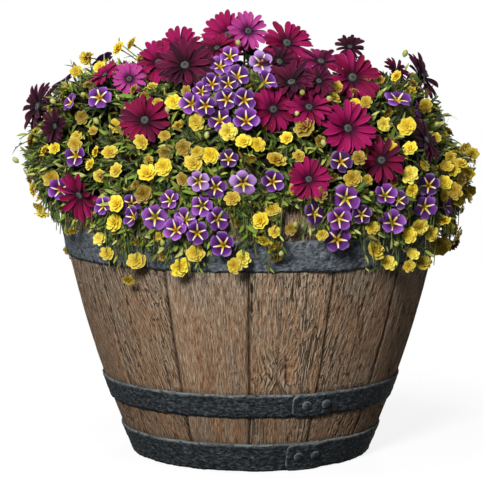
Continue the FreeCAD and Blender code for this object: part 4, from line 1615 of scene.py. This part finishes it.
def addBuds(foliage):
    dice = np.random.default_rng(15)
    places = [(x, z, 8) for x, z in doubles["buds"]]
    for bud in frontBlooms(places, [6, 11, 11], dice, 0.2, 0.5, 0.4):
        turned = aimed(bud["axis"][None], dice.uniform(0, 6, 1))
        length = bud["size"] * 1.3
        foliage[bud["plant"]].scatter(budForm(), bud["seat"][None], turned, length, bud["tone"], 0)


leafSkin = leafMaterial()
foliage = growFoliage()
addBroadLeaves(foliage["daisy_plant"], daisyBlooms)
addBuds(foliage)
for name in plantNames:
    piece = foliage[name].piece(name + "_leaves", [leafSkin])
    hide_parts(name)
print("shoots grown")


# shaded growth in the middle of the planting, its near-black colour painted shade

inner = {
    "around": 180,
    "rows": 48,
    "lowest": -10.0,             # degrees above level, seen from the heart
    "highest": 86.0,
    "inset": 0.017,
    "headroom": 0.028,
    "shrink": 0.85,              # inner face against the outer one
}


def innerMaterial():
    material, tree, skin = newMaterial("shadedGrowth", 0.9, Specular_IOR_Level=0.1)
    place = solidPlace(tree)
    tufts = noise(tree, place, (170, 170, 170), 4, 0.65)
    # near-black browns and greens: painted shade deep in the planting
    colour = ramp(tree, tufts, [
        (0.35, tint(12, 8, 5)), (0.52, tint(26, 20, 10)),
        (0.62, tint(42, 38, 18)), (0.75, tint(60, 58, 27))])
    feed(tree, skin.inputs["Base Color"], colour)
    bump(tree, skin, tufts, 0.006, 1.0)
    return material


def innerLayer(depth):
    rises = np.radians(np.linspace(inner["lowest"], inner["highest"], inner["rows"]))
    rise, turn = crossed(rises, turns(inner["around"]))
    spots = []
    for way in towards(turn, rise):
        hit = meet(heart + way * 0.8, -way)
        spots.append(heart + way * (np.linalg.norm(hit[0] - heart) - depth))
    return np.array(spots)


def addInner():
    outer = pullIn(innerLayer(inner["inset"]), inner["headroom"])
    tufts = 0.005 * lumps(outer / 0.02, 400) + 0.003 * lumps(outer / 0.008, 401)
    outer = outer + unit(outer - heart) * tufts[:, None]
    under = heart + (outer - heart) * inner["shrink"]
    ring = np.arange(inner["around"])
    top = (inner["rows"] - 1) * inner["around"]
    last = len(outer)
    walls = gridFaces(inner["rows"], inner["around"], closed=True)
    hem = np.stack([np.roll(ring, -1), ring, ring + last, np.roll(ring, -1) + last], 1)
    faces = [walls, walls[:, ::-1] + last, hem, top + ring[None], top + last + ring[None, ::-1]]
    piece = newPiece("planting_inner_growth", np.concatenate([outer, under]), faces, [innerMaterial()])
    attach(piece, "root")


addInner()
print("inner growth filled")


# daisy heads

def petalForm(droop, cup):
    rows = (0, 0.15, 0.35, 0.55, 0.75, 0.89, 0.97, 1)
    t, a = crossed(rows, np.linspace(-1, 1, 5))
    wide = 0.142 * np.interp(t, rows, (0.4, 0.55, 0.78, 0.95, 1, 0.8, 0.46, 0.1))
    along = t - 0.02 * (a == 0) * (t > 0.95)
    tall = 0.2 * t - droop * t * t + cup * a * a * wide + 0.014 * np.cos(a * pi * 2) * np.sin(t * pi)
    return np.stack([a * wide, along, tall], 1), gridFaces(8, 5), np.stack([a / 2 + 0.5, t], 1)


def domeForm(points=9, tall=0.55):
    flat, faces = discForm(points)
    far = np.hypot(*flat.T)
    knobs = 0.07 * np.sin(flat[:, 0] * 14) * np.sin(flat[:, 1] * 14)
    return np.column_stack([flat, tall * (1 - far ** 2.2) + knobs * (far < 0.95)]), faces, flat / 2 + 0.5


def daisyPetalMaterial():
    material, tree, skin = newMaterial("daisyPetal", 0.66, Specular_IOR_Level=0.15)
    across, along = petalPlace(tree)
    colour = ramp(tree, mark(tree, "tone"), toneStops(daisies["tones"]), "CONSTANT")
    dark = mixed(tree, 1.0, colour, (0.12, 0.06, 0.16, 1), "MULTIPLY")
    colour = mixed(tree, band(tree, along, 0.1, 0.55, 0.95, 0.0), colour, dark)
    off = awayFrom(tree, across, 0.5)
    ribs = sums(tree, "SINE", times(tree, across, 31.4))
    lined = mixed(tree, 1.0, colour, (0.5, 0.4, 0.5, 1), "MULTIPLY")
    colour = mixed(tree, band(tree, ribs, 0.2, 1, 0, 0.35), colour, lined)
    # painted light: paler pink along the rims towards the petal tips
    light = mixed(tree, 0.22, colour, tint(240, 110, 180))
    litRims = times(tree, band(tree, off, 0.3, 0.48, 0, 0.6), band(tree, along, 0.4, 0.9))
    colour = mixed(tree, litRims, colour, light)
    feed(tree, skin.inputs["Base Color"], colour)
    feed(tree, skin.inputs["Roughness"], band(tree, ribs, -1, 1, 0.6, 0.72))
    bump(tree, skin, ribs, 0.0006, 0.5)
    return material


def daisyDiscMaterial():
    material, tree, skin = newMaterial("daisyDisc", 0.7, Specular_IOR_Level=0.3)
    flat = mapOf(tree, "petalMap")
    far = put(tree, "VectorMath", operation="DISTANCE")
    feed(tree, far.inputs[0], flat)
    far.inputs[1].default_value = (0.5, 0.5, 0)
    disc = ramp(tree, far.outputs["Value"], [
        (0.05, tint(52, 56, 56)), (0.14, tint(78, 84, 80)), (0.25, tint(*daisies["disc"])),
        (0.34, tint(96, 94, 92)), (0.4, tint(34, 16, 30)), (0.5, tint(20, 8, 18))])
    florets = put(tree, "TexVoronoi", Vector=flat, Scale=15.0).outputs["Distance"]
    gaps = band(tree, florets, 0.25, 0.6, 0, 0.6)
    feed(tree, skin.inputs["Base Color"], mixed(tree, gaps, disc, tint(26, 22, 26)))
    bump(tree, skin, florets, 0.0015, 0.8)
    return material


def addDaisies():
    dice = np.random.default_rng(22)
    seats = column(daisyBlooms, "seat")
    axis = column(daisyBlooms, "axis")
    size = column(daisyBlooms, "size") * daisies["scale"]
    tones = column(daisyBlooms, "tone")
    count = len(seats)
    each = daisies["petals"]
    frames = aimed(axis, dice.uniform(0, 2 * pi, count))
    bunch = Bunch()
    turn = turns(each) + dice.normal(size=(count, each)) * 0.06
    along = np.cos(turn)[..., None] * frames[:, None, 0] + np.sin(turn)[..., None] * frames[:, None, 1]
    lift = dice.uniform(-0.04, 0.22, (count, 1, 1)) + dice.normal(size=(count, each, 1)) * 0.09
    lift = lift + np.where(np.arange(each) % 2, 0.07, -0.07)[None, :, None]
    along = unit(along + lift * axis[:, None])
    upward = axis[:, None] + 0.14 * dice.normal(size=(count, each, 3))
    petalAxes = axesFrom(along, upward).reshape(-1, 3, 3)
    radius = (size[:, None] / 2 * dice.uniform(0.88, 1.05, (count, each))).ravel()
    under = np.where(np.arange(each) % 2, 0.0, -0.0012)[None, :, None] * axis[:, None]
    origin = (seats[:, None] + along * (size[:, None, None] * 0.05) + under).reshape(-1, 3)
    shade = np.repeat(tones, each)
    shade = np.where(dice.random(count * each) < 0.35, np.array(daisies["darker"])[shade], shade)
    half = dice.random(count * each) < 0.5
    for chosen, form in ((half, petalForm(0.16, 0.5)), (~half, petalForm(0.24, 0.25))):
        bunch.scatter(form, origin[chosen], petalAxes[chosen], radius[chosen] * 0.95, shade[chosen], 0)
    bunch.scatter(domeForm(), seats + axis * 0.0012, frames, size * 0.1, 9, 1)
    cup = lathe((0.12, 0.5, 0.85, 1.0), (-1.0, -0.8, -0.4, 0.05), 8)
    bunch.scatter(cup, seats - axis * 0.0015, frames, size * 0.12, stalkTone + 1, 2)
    stalks = curve(*daisyStalks(daisyBlooms), np.linspace(0, 1, 8))
    bunch.tubes(stalks, np.full(8, daisies["stalk"]), stalkTone + 1, 2)
    piece = bunch.piece("daisy_plant_blooms", [daisyPetalMaterial(), daisyDiscMaterial(), leafSkin])


addDaisies()
print("daisies open,", len(daisyBlooms))


# star heads

def starForm(cupped, wave):
    lobes = 5
    each = 8
    reach = np.array([0.05, 0.1, 0.2, 0.34, 0.5, 0.66, 0.8, 0.92, 1.0])
    drop = np.array([-0.75, -0.4, -0.22, -0.13, -0.06, -0.01, 0.02, 0.025, 0.015]) + cupped * reach ** 2
    turn = turns(lobes * each)
    off = np.abs((turn * lobes / (2 * pi)) % 1 - 0.5) * 2  # 1 at the notches
    edge = (1 - 0.27 * off ** 3) * (1 + 0.05 * np.sin(turn * 2 + wave * 40) + 0.025 * np.sin(turn * 9))
    r = reach[:, None] * (1 + (edge - 1) * reach[:, None] ** 3)
    puff = 0.07 * (1 - off ** 2) * np.sin(reach * pi)[:, None] + 0.03 * off ** 6 * reach[:, None]
    sway = wave * reach[:, None] ** 2 * np.sin(turn * 3 + 1)
    z = drop[:, None] + puff + sway
    points = roundAxis(r, turn, z)
    return points, gridFaces(len(reach), len(turn), closed=True), points[:, :2] / 2 + 0.5


def starMaterial():
    material, tree, skin = newMaterial("starPetal", 0.6, Specular_IOR_Level=0.18)
    flat = put(tree, "VectorMath", operation="SUBTRACT")
    feed(tree, flat.inputs[0], mapOf(tree, "petalMap"))
    flat.inputs[1].default_value = (0.5, 0.5, 0)
    split = put(tree, "SeparateXYZ", Vector=flat.outputs[0])
    length = put(tree, "VectorMath", operation="LENGTH")
    feed(tree, length.inputs[0], flat.outputs[0])
    far = times(tree, length.outputs["Value"], 2.0)
    turn = sums(tree, "ARCTAN2", split.outputs["Y"], split.outputs["X"])
    sector = sums(tree, "FRACT", sums(tree, "ADD", times(tree, turn, 5 / (2 * pi)), 10.0))
    off = sums(tree, "SUBTRACT", 0.5, awayFrom(tree, sector, 0.5))   # 0 on a ray
    aside = times(tree, times(tree, off, 2 * pi / 5), far)
    lobe = ramp(tree, mark(tree, "tone"), toneStops(stars["tones"]), "CONSTANT")
    pale = mixed(tree, 0.4, lobe, tint(206, 176, 230))
    lobe = mixed(tree, band(tree, far, 0.78, 1.0, 0, 0.7), lobe, pale)
    lobe = mixed(tree, band(tree, far, 0.28, 0.9, 0.95, 0.0), lobe, tint(34, 8, 44))
    ray = ramp(tree, far, [
        (0.1, tint(206, 158, 34)), (0.28, tint(240, 200, 60)), (0.42, tint(244, 220, 140)),
        (0.55, tint(250, 238, 236)), (1.0, tint(206, 178, 226))])
    wide = band(tree, far, 0.1, 0.9, 0.1, 0.045)
    share = sums(tree, "DIVIDE", aside, wide)
    colour = mixed(tree, band(tree, share, 0.5, 1.1, 1.0, 0.0), lobe, ray)
    colour = mixed(tree, band(tree, far, 0.12, 0.18, 1.0, 0.0), colour, tint(196, 148, 30))
    feed(tree, skin.inputs["Base Color"], colour)
    creases = sums(tree, "SINE", times(tree, turn, 40.0))
    feed(tree, skin.inputs["Roughness"], band(tree, creases, -1, 1, 0.54, 0.66))
    bump(tree, skin, creases, 0.0004, 0.4)
    return material


def trumpetForm(sides=6):  # tube and green cup behind a bloom
    return lathe((0.02, 0.1, 0.13, 0.16, 0.3), (-1.05, -0.95, -0.7, -0.4, -0.12), sides)


def carrierOf(bloom):
    if bloom["plant"] in trailingNames:
        return bloom["plant"]
    return nearestTrailing(bloom["seat"])


def addBlooms(label, blooms, forms, skin, seed, scale=1.0):  # one piece to a trailing plant
    dice = np.random.default_rng(seed)
    for name in trailingNames:
        mine = [bloom for bloom in blooms if carrierOf(bloom) == name]
        seats = column(mine, "seat")
        axis = column(mine, "axis")
        radius = column(mine, "size") / 2 * scale
        tones = column(mine, "tone")
        frames = aimed(axis, dice.uniform(0, 2 * pi, len(mine)))
        kind = dice.integers(0, len(forms), len(mine))
        bunch = Bunch()
        for number, form in enumerate(forms):
            chosen = kind == number
            bunch.scatter(form, seats[chosen], frames[chosen], radius[chosen], tones[chosen], 0)
        bunch.scatter(trumpetForm(), seats, frames, radius, stalkTone + 3, 1)
        foot = seats - axis * radius[:, None]
        root = foot - axis * 0.02 + unit(heart - seats) * 0.03 - upBy(0.006)
        paths = curve(root, foot - axis * 0.018, foot, np.linspace(0, 1, 5))
        bunch.tubes(paths, np.full(5, 0.0008), stalkTone + dice.integers(0, 3, len(mine)), 1, 4)
        piece = bunch.piece(name + label, [skin, leafSkin])


starForms = [starForm(0.05, 0.05), starForm(-0.16, 0.09), starForm(0.24, 0.07), starForm(-0.05, 0.12)]
addBlooms("_stars", starBlooms, starForms, starMaterial(), 32, stars["scale"])
print("stars open,", len(starBlooms))


# double heads

def doubleForm(turnBy, wilder):  # rings of round petals, cupped towards the middle
    around = 30
    turn = turns(around)
    share = np.array([0, 0.4, 0.75, 1.0])[:, None]
    points = []
    inside = []
    faces = []
    for layer, (low, high, base, tip, lobes) in enumerate(doubles["rings"]):
        phase = layer * 0.45 + turnBy
        off = np.abs((turn * lobes / (2 * pi) + phase) % 1 - 0.5) * 2  # 1 between two petals
        uneven = 1 + 0.07 * wilder * np.sin(turn * 2 + phase * 3)
        uneven = uneven + 0.04 * wilder * np.sin(turn * 7 + phase)
        r = (low + (high - low) * share) * (1 - 0.2 * share ** 2 * off ** 3) * (1 + (uneven - 1) * share)
        curl = 0.07 * wilder * share ** 2 * np.cos(turn * (lobes + 2) + phase * 4)
        z = base + (tip - base) * share ** 1.5 + curl - 0.07 * off ** 2 * share
        points.append(roundAxis(r, turn, z))
        level = np.full(around * 4, (layer + 0.5) / 4)
        inside.append(np.stack([level, np.repeat(share[:, 0], around)], 1))
        faces.append(gridFaces(4, around, closed=True) + layer * around * 4)
    return np.concatenate(points), np.concatenate(faces), np.concatenate(inside)


def doubleMaterial():
    material, tree, skin = newMaterial("doublePetal", 0.55, Specular_IOR_Level=0.2)
    layer, along = petalPlace(tree)
    colour = ramp(tree, mark(tree, "tone"), toneStops(doubles["tones"]), "CONSTANT")
    # painted shade in the folds: darker towards the petal feet and on the inner rings
    deep = mixed(tree, 1.0, colour, (0.66, 0.48, 0.16, 1), "MULTIPLY")
    colour = mixed(tree, band(tree, along, 0.2, 0.75, 0.95, 0.0), colour, deep)
    pale = mixed(tree, 0.35, colour, tint(255, 248, 160))
    colour = mixed(tree, band(tree, along, 0.8, 1.0, 0, 0.8), colour, pale)
    colour = mixed(tree, band(tree, layer, 0.5, 0.9, 0, 0.3), colour, deep)
    feed(tree, skin.inputs["Base Color"], colour)
    feed(tree, skin.inputs["Roughness"], band(tree, along, 0, 1, 0.48, 0.62))
    return material


doubleForms = [doubleForm(0.0, 1.0), doubleForm(1.1, 1.35), doubleForm(2.3, 1.15)]
addBlooms("_doubles", doubleBlooms, doubleForms, doubleMaterial(), 42, doubles["scale"])
print("doubles open,", len(doubleBlooms))
